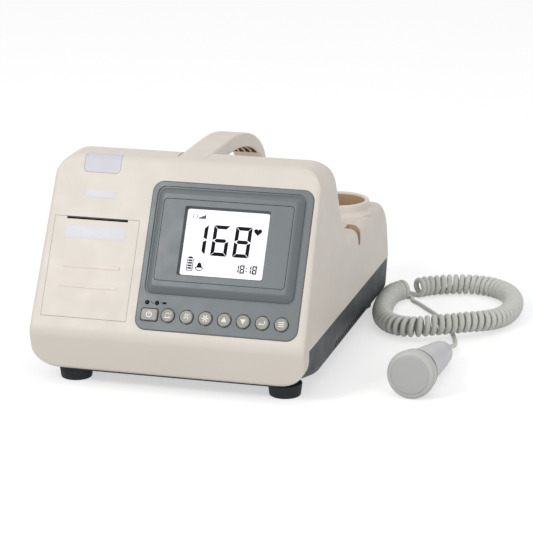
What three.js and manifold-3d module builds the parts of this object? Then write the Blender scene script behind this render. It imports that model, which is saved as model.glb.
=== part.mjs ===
// Desktop fetal doppler: a sloped case with a printer door, a display and keys on its face,
// a carrying handle, a probe cup in the rear deck, and a probe on a curly cord.
// Millimetres, +Z up, +X to the viewer's right, +Y towards the back.

import * as THREE from 'three';
import { mergeVertices } from 'three/addons/utils/BufferGeometryUtils.js';
import Module from 'manifold-3d';

const degrees = THREE.MathUtils.degToRad;

// Shared clearances
const gap = 0.3;
const overrun = 2;
const weld = 0.0001;
const smallRadius = 0.5;
const cornerSteps = 3;

// Key row, which sets how far the bezel and the case reach to the right
const keyCount = 7;
const firstKeyX = -0.7;
const keyPitch = 17;
const keyEndMargin = 14.8;
const bezelRight = firstKeyX + (keyCount - 1) * keyPitch + keyEndMargin;
const bezelSideMargin = 8.4;

// Case
const caseLeft = -127.1;
const caseRight = bezelRight + bezelSideMargin;
const caseMiddle = (caseLeft + caseRight) / 2;
const caseHalfWidth = (caseRight - caseLeft) / 2;
const caseDepth = 334.5;
const wall = 2.8;
const topHeight = 193.5;
const deckHeight = 108;
const partingHeight = 47.2;
const sideLeanShare = 0.0268;
const faceLean = degrees(28.7);
const faceDatumHeight = 62.7;
const rearLean = degrees(6.7);
const slopeTopDepth = 112.4;
const slopeLeanShare = 0.48;
const chinCreaseHeight = 50.9;
const chinBottomHeight = 15.2;
const chinFrontDepth = 1.2;
const chinBackDepth = 9;
const chinEdgeRadius = 4;
const chinCreaseRadius = 16;
const rearTopRadius = 24;
const deckBlendRadius = 24;
const topRearRadius = 22;
const topFrontRadius = 8;
const chinCornerRadius = 25;
const topCornerRadius = 21;
const rearRim = 14;
const deckRim = 7;
const slopeRim = 9;
const faceRim = 4;
const rimShares = [0, 0.04, 0.14, 0.32, 0.6, 1];

// Base
const baseStep = 0.8;
const baseDraft = 1.9;
const baseBottomHeight = 12;
const baseFloor = 3;
const baseWall = 2.5;
const baseRearOverhang = 1;
const baseEdgeRadius = 7;
const baseFrontCornerRadius = 25;
const cornerBlendLength = 36;
const heelRise = 6;
const heelLength = 13;
const lipHeight = 2.5;
const lipThickness = 1.5;
const lipFrontDepth = 40;
const ventCount = 12;
const ventPitch = 9.4;
const ventFrontDepth = 118;
const ventWidth = 3;
const ventHeight = 8;
const ventReach = 7;

// Feet and case screws
const footRadius = 15.2;
const footTaper = 0.9;
const footLeftInset = 32.6;
const footRightInset = 26.1;
const footX = [caseLeft + footLeftInset, caseRight - footRightInset];
const footFrontDepth = 27;
const footRearSetback = 34.5;
const footRearDepth = caseDepth - footRearSetback;
const footHollowRadius = 5;
const footHollowDepth = 5.5;
const screwRadius = 1.8;
const screwClearance = 0.3;
const screwHeadRadius = 3.8;
const screwHeadHeight = 2.5;
const footStudLength = 9;
const footBossRadius = 5;
const footBossHeight = 8;
const pillarLeftInset = 17.1;
const pillarRightInset = 14.5;
const pillarX = [caseLeft + pillarLeftInset, caseRight - pillarRightInset];
const pillarFrontDepth = 100;
const pillarRearSetback = 56.5;
const pillarRearDepth = caseDepth - pillarRearSetback;
const pillarRadius = 5;
const pillarTopHeight = 60;
const pillarWebHalf = 1.5;
const caseBossRadius = 6;
const caseBossTopHeight = 22;
const counterboreRadius = 4.4;
const counterboreDepth = 5;
const caseScrewLength = 18;

// Carrying handle
const handleWidth = 27.5;
const handleCentreX = -2.5;
const handleFrontDepth = 80;
const handleFrontRadius = 8;
const handleBendDepth = 160;
const handleLegSetback = 49.5;
const handleReach = caseDepth - handleLegSetback - handleBendDepth;
const handleDrop = 55;
const handleThickness = 13.7;
const handleLegHeight = 98;
const handleEdge = 2;
const gripPocketDepth = 7.5;
const gripRib = 1.5;
const gripPocketCount = 4;
const gripFrontDepth = 132;
const gripEndAngle = degrees(60);
const handleSeatWall = 2.5;

// Probe cup
const cupSideInset = 35.5;
const cupX = caseRight - cupSideInset;
const cupSetback = 76.5;
const cupY = caseDepth - cupSetback;
const cupInnerRadius = 25.5;
const cupRingRadius = 29.8;
const cupRimHeight = 119.2;
const cupBodyRadius = 28;
const cupBottomRadius = 24;
const cupBottomHeight = 66;
const cupFloor = 2.5;
const cupEarReach = 38;
const cupEarHalfWidth = 5;
const cupEarThickness = 3;
const cupRimRound = 2;

// Hook slot in the right side wall
const hookDepth = 12;
const hookWidth = 5.8;
const hookStart = [75, 110.5];
const hookBend = [67, 105];
const hookShoulder = [59, 101];
const hookEnd = [54.2, 90];
const hookPath = [hookStart, hookBend, hookShoulder, hookEnd].map(([forward, z]) => [cupY - forward, z]);
const hookWall = 2;

// Control bezel, in the face's own frame: x, v up the face, n outwards
const bezelLeft = -30.1;
const bezelBottom = -5;
const bezelTop = 129;
const bezelRadius = 10;
const bezelRise = 1;
const bezelPlateDepth = 1.5;
const bezelSkirtDepth = 5.1;
const bezelSkirtWall = 2.5;
const bezelFlange = 2;
const bezelFlangeThickness = 2;
const bezelEdge = 1;
const frameBaseLeft = -24;
const frameRightMargin = 7.1;
const frameBaseRight = bezelRight - frameRightMargin;
const frameBaseBottom = 27.5;
const frameBaseTop = 123.2;
const frameBaseRadius = 7;
const frameSlope = 6;
const frameTopRadius = 5;
const frameHeight = 6;
const keyPostRadius = 2.2;
const keyPostInset = 3;

// Display
const lensLeftMargin = 7.25;
const lensRightMargin = 8.25;
const lensLeft = frameBaseLeft + lensLeftMargin;
const lensRight = frameBaseRight - lensRightMargin;
const lensX = (lensLeft + lensRight) / 2;
const lensV = 75.5;
const lensWidth = lensRight - lensLeft;
const lensHeight = 73.6;
const lensRadius = 3;
const lensBack = 2.3;
const apertureSideMargin = 19.75;
const apertureWidth = lensWidth - 2 * apertureSideMargin;
const apertureHeight = 62.8;
const apertureSlope = 1.9;
const apertureRadius = 2;
const panelOverlap = 3;
const panelWidth = apertureWidth + 2 * panelOverlap;
const panelHeight = 68;
const panelBack = -1.2;
const displayBoardMargin = 8.75;
const displayBoardWidth = lensWidth - 2 * displayBoardMargin;
const displayBoardHeight = 80;
const boardThickness = 1.6;

// Keys and indicator lights
const keyV = 8.8;
const keyRadius = 5.75;
const keyTop = 3;
const keyEdge = 0.8;
const keyFlange = 1;
const keyFlangeThickness = 1.3;
const powerKeyX = -17.4;
const powerKeyV = 8.4;
const powerKeyWidth = 14.5;
const powerKeyHeight = 10.3;
const powerKeyRadius = 2;
const matTop = -4.9;
const matThickness = 1;
const domeRadius = 3;
const domeHeight = 0.5;
const keyBoardBottom = -0.5;
const keyBoardTop = 24;
const indicatorRadius = 1.75;
const indicatorTop = 1.6;
const indicatorFirstX = -21.1;
const indicatorPitch = 9;
const indicatorV = 19.3;

// Alarm lamp across the face's top edge
const lampLeft = -97;
const lampRight = -63.3;
const lampDrop = 16.12;
const lampBottom = (topHeight - faceDatumHeight) / Math.cos(faceLean) - lampDrop;
const lampRadius = 4;
const lampReach = 8;
const lampWall = 2;
const lampBoardOverlap = 3;
const lampBoardReach = 8;

// Printer door and its hinge
const doorLeft = -117.2;
const doorRight = -38.7;
const doorBottom = 0.7;
const doorTop = 91.4;
const doorThickness = 2.3;
const slotLeft = -106.3;
const slotRight = -49.4;
const slotBottom = 89.2;
const hingeV = -5.5;
const hingeN = -5.5;
const pinRadius = 1.25;
const pinClearance = 0.3;
const lugWidth = 4;
const lugReach = 3;
const armWidth = 4;
const armInset = 12;
const armBoss = 2.4;
const armDrop = 10;
const armTop = 6.3;
const armFront = 8.7;
const armBack = 11.5;
const ribV = [45.5, 27.5];
const ribHeight = 3.5;
const ribRise = 0.5;
const ribLeft = -105;
const ribRight = -50.5;

// Printer: roll, bucket, platen, print head, gears and motor
const rollRadius = 25;
const rollWidth = 57;
const rollX = -78;
const rollV = 36;
const rollN = -33;
const rollCoreRadius = 6;
const bucketWall = 2;
const bucketStartAngle = degrees(111.6);
const bucketEndAngle = degrees(351);
const sideStartAngle = degrees(135);
const sideEndAngle = degrees(270);
const sideSetback = 9;
const sideWall = 2;
const chassisLeft = -116.5;
const chassisRight = -40.6;
const beamBottom = 96;
const beamTop = 99;
const beamFront = -8;
const beamBack = -30;
const platenRadius = 4.2;
const platenV = 82;
const platenN = -9.5;
const platenShaftRadius = 1.5;
const bracketThickness = 2;
const bracketHalfHeight = 5;
const bracketReach = 3;
const headBottom = 74;
const headThickness = 3;
const gearModule = 0.8;
const gearWidth = 3;
const gearLeft = -46.2;
const toothShare = 0.4;
const toothRootShare = 1.2;
const toothTipShare = 0.9;
const rootWidthShare = 1.5;
const tipWidthShare = 0.6;
const platenTeeth = 16;
const feedTeeth = 24;
const pinionTeeth = 10;
const stubRadius = 1.9;
const gearBoreRadius = 2.2;
const motorRadius = 10;
const motorLength = 18;
const motorShaftRadius = 1;
const tearBarDrop = 0.8;
const tearBarThickness = 1.2;
const chassisPostRadius = 4;
const chassisFootHeight = 47.5;
const chassisLegLength = 8;

// Rear sockets
const socketHeight = 74;
const inletX = -70;
const inletWidth = 31;
const inletHeight = 25;
const inletDepth = 17;
const inletFlange = 2;
const inletCavityWidth = 24.5;
const inletCavityHeight = 16.5;
const inletCavityDepth = 15;
const inletPinWidth = 4;
const inletPinThickness = 2;
const inletPinLength = 11;
const inletPinPitch = 7;
const probeSocketInset = 44.5;
const probeSocketX = caseRight - probeSocketInset;
const probeSocketRadius = 10;
const probeSocketHoleRadius = 5;
const probeSocketDepth = 12;
const probeSocketRise = 2;
const plugRadius = 8.5;
const plugLength = 24;
const plugNoseRadius = 4.5;
const plugNoseLength = 9;
const reliefLength = 20;
const reliefRadius = 4.5;

// Inside the base
const boardHeight = 27;
const boardPostRadius = 3;
const mainBoardLeft = -30;
const mainBoardFront = 60;
const batteryLeft = -108;
const batteryRight = -60;
const batteryFront = 140;
const batteryPillarGap = 28;
const batteryBack = pillarRearDepth - batteryPillarGap;
const batteryHeight = 24;
const supplyLeft = 5;
const supplyInset = 39.5;
const supplyRight = caseRight - supplyInset;
const supplySetback = 14.5;
const supplyLength = 80;
const supplyBack = caseDepth - supplySetback;
const supplyFront = supplyBack - supplyLength;
const boardSpacing = 20;
const mainBoardBack = supplyFront - boardSpacing;
const speakerInset = 39.5;
const speakerX = caseRight - speakerInset;
const speakerY = 150;
const speakerRadius = 28;
const speakerSpacing = 7;
const mainBoardRight = speakerX - speakerRadius - speakerSpacing;
const speakerHeight = 14;
const speakerMagnetRadius = 14;

// Probe, along its own axis from the face
const probeFaceX = 206;
const probeFaceY = 42;
const probeTurn = degrees(-4.16);
const probeHeadRadius = 21.5;
const probeHeadEnd = 16;
const probeHeadShoulder = 2.5;
const probeHeadWall = 3.5;
const probeFaceRadius = 19;
const probeFaceThickness = 1.7;
const probeFaceDome = 0.6;
const probeBandLength = 3.2;
const probeBandRadius = 20;
const probeSpigotRadius = 14.7;
const probeTailRadius = 11;
const probeTailEnd = 110;
const probeTailFlat = 105;
const probeTailEndRadius = 5.5;
const probeTailShoulder = 8.2;
const probeShoulderRadius = 17.5;
const probeNeckRadius = 14.5;
const probeNeckEnd = 38;
const probeGripRadius = 12.4;
const probeReliefLength = 15;
const probeRest = 0.05;
const faceDomeShare = 0.6;
const discRadius = 15;
const discThickness = 3;

// Curly cord and its leads
const wireRadius = 2;
const coilRadius = 7.4;
const coilTurns = 63;
const coilTurnSteps = 8;
const coilSides = 4;
const leadSides = 8;
const coilHeight = 9.45;
const crossingHeight = 14.4;
const coilRoute = [
  [137, 335.5], [131, 322], [129.3, 300], [131, 275], [135.5, 250], [144.5, 228], [158, 213.5],
  [174, 209], [191, 214], [207.5, 223.5], [222, 233], [235, 244], [245, 260], [250.5, 281],
  [251.5, 307], [247, 332], [237, 353], [222, 366], [204, 371], [186, 368.5], [170, 361.5],
  [156, 352],
];
const crossingPoint = [207.5, 226];
const crossingLength = 42;
const humpShare = 1.7;
const probeLeadRoute = [
  [149, 327, 2.1], [157, 318, 2.1], [168, 303, 2.1], [180, 287, 2.1], [191, 269, 2.1],
  [200, 250, 2.1], [207.5, 231, 2.1], [212.5, 215, 2.1], [215.8, 200.9, 2.4], [217, 189, 4.5],
];
const deviceLeadRoute = [
  [80, 390, 80.4], [81, 401, 74], [83, 408, 57], [86, 411, 34], [91, 409, 13], [97, 401, 3.2],
  [102, 388, 2.1], [107, 371, 2.1], [113.7, 352, 2.1], [121, 354, 2.1], [131, 360, 2.1],
  [139, 362, 2.1],
];

// Mesh and solid helpers

function signedVolume(points, triangles) {
  const corner = (i) => new THREE.Vector3().fromArray(points, triangles[i] * 3);
  let volume = 0;
  for (let i = 0; i < triangles.length; i += 3) {
    volume += corner(i).dot(corner(i + 1).cross(corner(i + 2)));
  }
  return volume;
}

const wasm = await Module();
wasm.setup();

function toSolid(geometry) {
  const bare = geometry.clone();
  bare.deleteAttribute('normal');
  bare.deleteAttribute('uv');
  const merged = mergeVertices(bare, weld);
  const index = merged.index.array;
  const triangles = [];
  for (let i = 0; i < index.length; i += 3) {
    const [a, b, c] = index.slice(i, i + 3);
    if (a !== b && b !== c && c !== a) triangles.push(a, b, c);
  }
  const points = new Float32Array(merged.attributes.position.array);
  if (signedVolume(points, triangles) < 0) triangles.reverse();
  const triVerts = new Uint32Array(triangles);
  return new wasm.Manifold(new wasm.Mesh({ numProp: 3, vertProperties: points, triVerts }));
}

function toGeometry(solid) {
  const mesh = solid.getMesh();
  const geometry = new THREE.BufferGeometry();
  geometry.setAttribute('position', new THREE.BufferAttribute(new Float32Array(mesh.vertProperties), 3));
  geometry.setIndex(new THREE.BufferAttribute(new Uint32Array(mesh.triVerts), 1));
  geometry.computeVertexNormals();
  return geometry;
}

const solidOf = (geometry, frame = new THREE.Matrix4()) => toSolid(geometry.clone().applyMatrix4(frame));
const join = (first, ...others) => others.reduce((sum, solid) => sum.add(solid), first);
const cut = (first, ...tools) => tools.reduce((rest, tool) => rest.subtract(tool), first);

// Outlines

function roundedOutline(corners, steps = cornerSteps) {
  return corners.flatMap(([x, y, radius], i) => {
    const corner = new THREE.Vector2(x, y);
    if (!radius) return [corner];
    const [beforeX, beforeY] = corners.at(i - 1);
    const [afterX, afterY] = corners[(i + 1) % corners.length];
    const toBefore = new THREE.Vector2(beforeX, beforeY).sub(corner).normalize();
    const toAfter = new THREE.Vector2(afterX, afterY).sub(corner).normalize();
    const half = toBefore.angleTo(toAfter) / 2;
    const middle = toBefore.clone().add(toAfter).normalize();
    const centre = corner.clone().addScaledVector(middle, radius / Math.sin(half));
    const start = corner.clone().addScaledVector(toBefore, radius / Math.tan(half)).sub(centre);
    const turn = Math.sign(toAfter.cross(toBefore)) * (Math.PI - 2 * half);
    return Array.from({ length: steps + 1 }, (_, step) => (
      start.clone().rotateAround(new THREE.Vector2(), (turn * step) / steps).add(centre)
    ));
  });
}

function roundedRectangle([left, right], [bottom, top], radius, steps = cornerSteps) {
  return roundedOutline([
    [left, bottom, radius], [right, bottom, radius], [right, top, radius], [left, top, radius],
  ], steps);
}

const rectangle = (x, y) => roundedRectangle(x, y, 0);

function circle(radius, sides, x = 0, y = 0) {
  return Array.from({ length: sides }, (_, i) => {
    const angle = (2 * Math.PI * i) / sides;
    return new THREE.Vector2(x + radius * Math.cos(angle), y + radius * Math.sin(angle));
  });
}

function arc(radius, from, to, steps, x = 0, y = 0) {
  return Array.from({ length: steps + 1 }, (_, i) => {
    const angle = from + ((to - from) * i) / steps;
    return new THREE.Vector2(x + radius * Math.cos(angle), y + radius * Math.sin(angle));
  });
}

function stroke(path, width) {
  const points = path.map(([x, y]) => new THREE.Vector2(x, y));
  const side = (sign) => points.map((point, i) => {
    const before = points[Math.max(i - 1, 0)];
    const after = points[Math.min(i + 1, points.length - 1)];
    const along = after.clone().sub(before).normalize();
    return new THREE.Vector2(-along.y, along.x).multiplyScalar((sign * width) / 2).add(point);
  });
  return [...side(-1), ...side(1).reverse()];
}

function insetCorners(corners, insets) {
  const lines = corners.map(([x, y], i) => {
    const [nextX, nextY] = corners[(i + 1) % corners.length];
    const along = new THREE.Vector2(nextX - x, nextY - y).normalize();
    const inward = new THREE.Vector2(-along.y, along.x);
    return { start: new THREE.Vector2(x, y).addScaledVector(inward, insets[i]), along };
  });
  return corners.map(([, , radius], i) => {
    const before = lines.at(i - 1);
    const after = lines[i];
    const bend = before.along.cross(after.along);
    const reach = after.start.clone().sub(before.start).cross(after.along) / bend;
    const point = before.start.clone().addScaledVector(before.along, reach);
    const shrink = (Math.sign(bend) * (insets.at(i - 1) + insets[i])) / 2;
    return [point.x, point.y, radius ? Math.max(radius - shrink, smallRadius) : 0];
  });
}

// Bodies

function prism(outline, low, high) {
  const geometry = new THREE.ExtrudeGeometry(new THREE.Shape(outline), {
    depth: high - low,
    bevelEnabled: false,
  });
  return geometry.translate(0, 0, low);
}

const block = (x, y, z) => prism(rectangle(x, y), ...z);

function turned(profile, sides) {
  const geometry = new THREE.LatheGeometry(profile.map(([r, z]) => new THREE.Vector2(r, z)), sides);
  return geometry.rotateX(Math.PI / 2);
}

const rod = (radius, low, high, sides) => (
  turned([[0, low], [radius, low], [radius, high], [0, high]], sides)
);

function loft(sections, flatten) {
  const count = sections[0].length;
  const faces = [];
  for (let row = 0; row < sections.length - 1; row += 1) {
    for (let i = 0; i < count; i += 1) {
      const a = row * count + i;
      const b = row * count + ((i + 1) % count);
      faces.push(a, b, b + count, a, b + count, a + count);
    }
  }
  const cap = (row) => THREE.ShapeUtils.triangulateShape(sections[row].map(flatten), []);
  const last = sections.length - 1;
  for (const [a, b, c] of cap(0)) faces.push(c, b, a);
  for (const corners of cap(last)) faces.push(...corners.map((corner) => last * count + corner));
  const geometry = new THREE.BufferGeometry().setFromPoints(sections.flat());
  geometry.setIndex(faces);
  return geometry;
}

const raise = (outline, z) => outline.map(({ x, y }) => new THREE.Vector3(x, y, z));
const tapered = (sections) => loft(sections, ({ x, y }) => new THREE.Vector2(x, y));

function pillow(x, y, radius, low, high, edge, steps = cornerSteps) {
  const at = (inset, z) => raise(
    roundedRectangle(
      [x[0] + inset, x[1] - inset],
      [y[0] + inset, y[1] - inset],
      Math.max(radius - inset, smallRadius),
      steps,
    ),
    z,
  );
  const rounds = [0, 0.5, 1].map((share) => {
    const angle = (share * Math.PI) / 2;
    return at(edge * (1 - Math.cos(angle)), high - edge * (1 - Math.sin(angle)));
  });
  return tapered([at(0, low), ...rounds]);
}

function tube(points, radius, sides, steps) {
  const path = new THREE.CatmullRomCurve3(points);
  const shape = new THREE.Shape(circle(radius, sides));
  return new THREE.ExtrudeGeometry(shape, { steps, bevelEnabled: false, extrudePath: path });
}

function gearOutline(teeth, turn) {
  const pitchRadius = (teeth * gearModule) / 2;
  const rootRadius = pitchRadius - toothRootShare * gearModule;
  const tipRadius = pitchRadius + toothTipShare * gearModule;
  const half = (Math.PI / teeth) * toothShare;
  const rootHalf = half * rootWidthShare;
  const tipHalf = half * tipWidthShare;
  const points = [];
  for (let tooth = 0; tooth < teeth; tooth += 1) {
    const angle = turn + (2 * Math.PI * tooth) / teeth;
    const flank = [
      [rootRadius, -rootHalf], [tipRadius, -tipHalf], [tipRadius, tipHalf], [rootRadius, rootHalf],
    ];
    for (const [radius, offset] of flank) {
      points.push(new THREE.Vector2(radius * Math.cos(angle + offset), radius * Math.sin(angle + offset)));
    }
  }
  return points;
}

// Frames: across the case, on the face, and on the rear wall
const across = new THREE.Matrix4().makeBasis(
  new THREE.Vector3(0, 1, 0),
  new THREE.Vector3(0, 0, 1),
  new THREE.Vector3(1, 0, 0),
);
const faceFrame = new THREE.Matrix4()
  .makeRotationX(Math.PI / 2 - faceLean)
  .setPosition(0, 0, faceDatumHeight);
const acrossFace = faceFrame.clone().multiply(across);
const faceDepth = (height) => (height - faceDatumHeight) * Math.tan(faceLean);
const rearDepth = (height) => caseDepth - (height - partingHeight) * Math.tan(rearLean);
const slopeDepth = (height) => slopeTopDepth + (topHeight - height) * slopeLeanShare;
const rearFrame = (x) => new THREE.Matrix4()
  .makeBasis(
    new THREE.Vector3(-1, 0, 0),
    new THREE.Vector3(0, -Math.sin(rearLean), Math.cos(rearLean)),
    new THREE.Vector3(0, Math.cos(rearLean), Math.sin(rearLean)),
  )
  .setPosition(x, rearDepth(socketHeight), socketHeight);

// Groups and finishes
const doppler = new THREE.Group();
const assembly = new THREE.Group();
doppler.add(assembly);
const faceGroup = new THREE.Group();
faceGroup.rotation.x = Math.PI / 2 - faceLean;
faceGroup.position.z = faceDatumHeight;
assembly.add(faceGroup);

const finish = (color, roughness, metalness = 0) => (
  new THREE.MeshStandardMaterial({ color, roughness, metalness })
);
const creamPlastic = finish(0xe4dcd2, 0.55);
const greyPlastic = finish(0x8c9292, 0.5);
const darkPlastic = finish(0x5f676c, 0.55);
const blackPlastic = finish(0x2a2c2e, 0.6);
const rubber = finish(0x2b2d30, 0.8);
const keyPlastic = finish(0xafada5, 0.5);
const lampPlastic = finish(0xe2e0ea, 0.3);
const screenGlass = finish(0xf2f2f5, 0.2);
const boardGreen = finish(0x2f6b47, 0.6);
const steel = finish(0xb8babc, 0.35, 1);
const brass = finish(0xc9a44c, 0.4, 1);
const paper = finish(0xf4f3ee, 0.9);
const cordPlastic = finish(0xc4c6be, 0.6);
const probePlastic = finish(0xcdcdce, 0.45);
const probeRubber = finish(0xb4b4af, 0.6);
const batteryWrap = finish(0x3d6fa8, 0.5);

function piece(name, shape, material, parent = assembly) {
  const mesh = new THREE.Mesh(shape.isBufferGeometry ? shape : toGeometry(shape), material);
  mesh.name = name;
  parent.add(mesh);
  return mesh;
}

// Upper shell, outer and inner form
const profile = [
  [chinFrontDepth, chinBottomHeight, chinEdgeRadius],
  [chinBackDepth, chinBottomHeight, 0],
  [chinBackDepth, partingHeight, 0],
  [caseDepth, partingHeight, 0],
  [rearDepth(deckHeight), deckHeight, rearTopRadius],
  [slopeDepth(deckHeight), deckHeight, deckBlendRadius],
  [slopeTopDepth, topHeight, topRearRadius],
  [faceDepth(topHeight), topHeight, topFrontRadius],
  [faceDepth(chinCreaseHeight), chinCreaseHeight, chinCreaseRadius],
];
const rims = [chinCornerRadius, 0, 0, rearRim, deckRim, slopeRim, topCornerRadius, faceRim, faceRim];
const open = [false, true, true, false, false, false, false, false, false];

const leanAt = (height) => 1 - (sideLeanShare * Math.max(height - partingHeight, 0)) / caseHalfWidth;

function caseForm(inset) {
  const depths = rimShares.map((share) => share * chinCornerRadius);
  const stations = [
    ...depths.map((depth) => [depth, -1]),
    ...depths.toReversed().map((depth) => [depth, 1]),
  ];
  const sections = stations.map(([depth, side]) => {
    const insets = rims.map((rim, i) => {
      const radius = rim ? Math.max(rim - inset, smallRadius) : 0;
      const roundness = depth < radius ? radius - Math.sqrt(radius ** 2 - (radius - depth) ** 2) : 0;
      return inset * (open[i] ? -1 : 1) + roundness;
    });
    const outline = roundedOutline(insetCorners(profile, insets));
    const x = side * (caseHalfWidth - inset - depth);
    return outline.map((point) => new THREE.Vector3(caseMiddle + x * leanAt(point.y), point.x, point.y));
  });
  return loft(sections, ({ y, z }) => new THREE.Vector2(y, z));
}

const outerForm = toSolid(caseForm(0));
const innerForm = toSolid(caseForm(wall));

// Carrying handle: a flat bar set flush in the top that bends down to the deck
const handleSides = [handleCentreX - handleWidth / 2, handleCentreX + handleWidth / 2];

function handleLine(offset, startDepth, endAngle, steps = 9) {
  const bend = Array.from({ length: steps + 1 }, (_, i) => {
    const angle = (endAngle * i) / steps;
    return new THREE.Vector2(
      handleBendDepth + (handleReach - offset) * Math.sin(angle),
      topHeight - handleDrop + (handleDrop - offset) * Math.cos(angle),
    );
  });
  return [new THREE.Vector2(startDepth, topHeight - offset), ...bend];
}

function handlePlan(clearance) {
  const [left, right] = [handleSides[0] - clearance, handleSides[1] + clearance];
  const front = handleFrontDepth - clearance;
  const back = handleBendDepth + handleReach + clearance;
  const radius = handleFrontRadius + clearance;
  return roundedOutline([
    [left, front, radius], [right, front, radius], [right, back, 0], [left, back, 0],
  ]);
}

function carryHandle() {
  const outer = handleLine(0, handleFrontDepth, Math.PI / 2);
  const inner = handleLine(handleThickness, handleFrontDepth, Math.PI / 2).reverse();
  const foot = [
    new THREE.Vector2(handleBendDepth + handleReach, handleLegHeight),
    new THREE.Vector2(handleBendDepth + handleReach - handleThickness, handleLegHeight),
  ];
  const bar = new THREE.ExtrudeGeometry(new THREE.Shape([...outer, ...foot, ...inner]), {
    depth: handleWidth - 2 * handleEdge,
    bevelEnabled: true,
    bevelSize: handleEdge,
    bevelThickness: handleEdge,
    bevelOffset: -handleEdge,
    bevelSegments: 2,
  });
  bar.translate(0, 0, handleSides[0] + handleEdge);
  const plan = solidOf(prism(handlePlan(0), handleLegHeight - overrun, topHeight + overrun));
  const pocketSpan = handleWidth - 2 * handleEdge - (gripPocketCount - 1) * gripRib;
  const pocketWidth = pocketSpan / gripPocketCount;
  const roof = handleThickness - gripPocketDepth;
  const pocketOutline = [
    ...handleLine(roof, gripFrontDepth, gripEndAngle, 6),
    ...handleLine(handleThickness + overrun, gripFrontDepth, gripEndAngle, 6).reverse(),
  ];
  const pockets = Array.from({ length: gripPocketCount }, (_, i) => {
    const left = handleSides[0] + handleEdge + i * (pocketWidth + gripRib);
    return solidOf(prism(pocketOutline, left, left + pocketWidth), across);
  });
  return cut(solidOf(bar, across).intersect(plan), ...pockets);
}

// Printer door opening, lamp opening, bezel opening and the holes of the rear wall
const faceCut = (outline) => solidOf(prism(outline, -wall - overrun, overrun), faceFrame);

function lampPrism(clearance) {
  const outline = roundedOutline([
    [lampLeft - clearance, lampBottom - clearance, lampRadius + clearance],
    [lampRight + clearance, lampBottom - clearance, lampRadius + clearance],
    [lampRight + clearance, bezelTop + handleReach, 0],
    [lampLeft - clearance, bezelTop + handleReach, 0],
  ]);
  return solidOf(prism(outline, -lampReach - clearance, wall), faceFrame);
}

function upperShell() {
  const seat = solidOf(block(
    [handleSides[0] - gap - handleSeatWall, handleSides[1] + gap + handleSeatWall],
    [handleFrontDepth - gap - handleSeatWall, handleBendDepth],
    [topHeight - handleThickness - gap - handleSeatWall, topHeight],
  )).intersect(outerForm);
  const legBack = handleBendDepth + handleReach;
  const socket = solidOf(block(
    [handleSides[0] - gap - handleSeatWall, handleSides[1] + gap + handleSeatWall],
    [legBack - handleThickness - gap - handleSeatWall, legBack + gap + handleSeatWall],
    [handleLegHeight - gap - handleSeatWall, deckHeight - wall / 2],
  ));
  const hookHeights = hookPath.map(([, z]) => z);
  const hookBlock = solidOf(block(
    [caseRight - hookDepth - hookWall, caseRight],
    [hookPath[0][0] - hookWidth, hookPath.at(-1)[0] + hookWidth],
    [Math.min(...hookHeights) - hookWidth, Math.max(...hookHeights) + hookWidth],
  )).intersect(outerForm);
  const pillars = [];
  for (const x of pillarX) {
    for (const y of [pillarFrontDepth, pillarRearDepth]) {
      const post = rod(pillarRadius, caseBossTopHeight + gap, pillarTopHeight, 8).translate(x, y, 0);
      const web = block(
        x < caseMiddle ? [caseLeft, x] : [x, caseRight],
        [y - pillarWebHalf, y + pillarWebHalf],
        [partingHeight + lipHeight + gap, pillarTopHeight],
      );
      pillars.push(solidOf(post), solidOf(web).intersect(outerForm));
    }
  }
  const lugs = [doorLeft + gap, doorRight - gap - lugWidth].map((left) => solidOf(
    prism(
      rectangle([hingeV - lugReach, doorBottom - gap - smallRadius], [hingeN - lugReach, -wall / 2]),
      left,
      left + lugWidth,
    ),
    acrossFace,
  ));
  const body = join(cut(outerForm, innerForm), seat, socket, hookBlock, ...pillars, ...lugs);

  const notch = solidOf(prism(handlePlan(gap), topHeight - handleThickness - gap, topHeight + overrun));
  const legHole = solidOf(block(
    [handleSides[0] - gap, handleSides[1] + gap],
    [legBack - handleThickness - gap, legBack + gap],
    [handleLegHeight - gap, deckHeight + overrun],
  ));
  const cupHole = solidOf(
    rod(cupRingRadius + gap, deckHeight - wall - overrun, deckHeight + overrun, 24).translate(cupX, cupY, 0),
  );
  const hook = solidOf(
    prism(stroke(hookPath, hookWidth), caseRight - hookDepth, caseRight + overrun),
    across,
  );
  const doorHole = faceCut(rectangle([doorLeft - gap, doorRight + gap], [doorBottom - gap, doorTop + gap]));
  const bezelHole = faceCut(roundedRectangle(
    [bezelLeft - gap, bezelRight + gap],
    [bezelBottom - gap, bezelTop + gap],
    bezelRadius + gap,
    4,
  ));
  const pinHole = solidOf(
    prism(circle(pinRadius + gap, 10, hingeV, hingeN), doorLeft - gap, doorRight + overrun),
    acrossFace,
  );
  const holeRadius = screwRadius + screwClearance;
  const screwHoles = [];
  for (const x of pillarX) {
    for (const y of [pillarFrontDepth, pillarRearDepth]) {
      const high = baseBottomHeight + counterboreDepth + caseScrewLength + gap;
      screwHoles.push(solidOf(rod(holeRadius, caseBossTopHeight - overrun, high, 6).translate(x, y, 0)));
    }
  }
  const inletHole = solidOf(prism(
    rectangle(
      [-inletWidth / 2 + inletFlange - gap, inletWidth / 2 - inletFlange + gap],
      [-inletHeight / 2 + inletFlange - gap, inletHeight / 2 - inletFlange + gap],
    ),
    -wall - overrun,
    overrun,
  ), rearFrame(inletX));
  const socketHole = solidOf(
    rod(probeSocketRadius - inletFlange + gap, -wall - overrun, overrun, 16),
    rearFrame(probeSocketX),
  );
  return cut(
    body, notch, legHole, cupHole, hook, doorHole, bezelHole, lampPrism(gap), pinHole, inletHole,
    socketHole, ...screwHoles,
  );
}

piece('upper_shell', upperShell(), creamPlastic);
piece('carry_handle', carryHandle(), creamPlastic);

const lampCore = toSolid(caseForm(lampWall));
piece('alarm_lamp_lens', cut(outerForm.intersect(lampPrism(0)), lampCore), lampPlastic);

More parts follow.
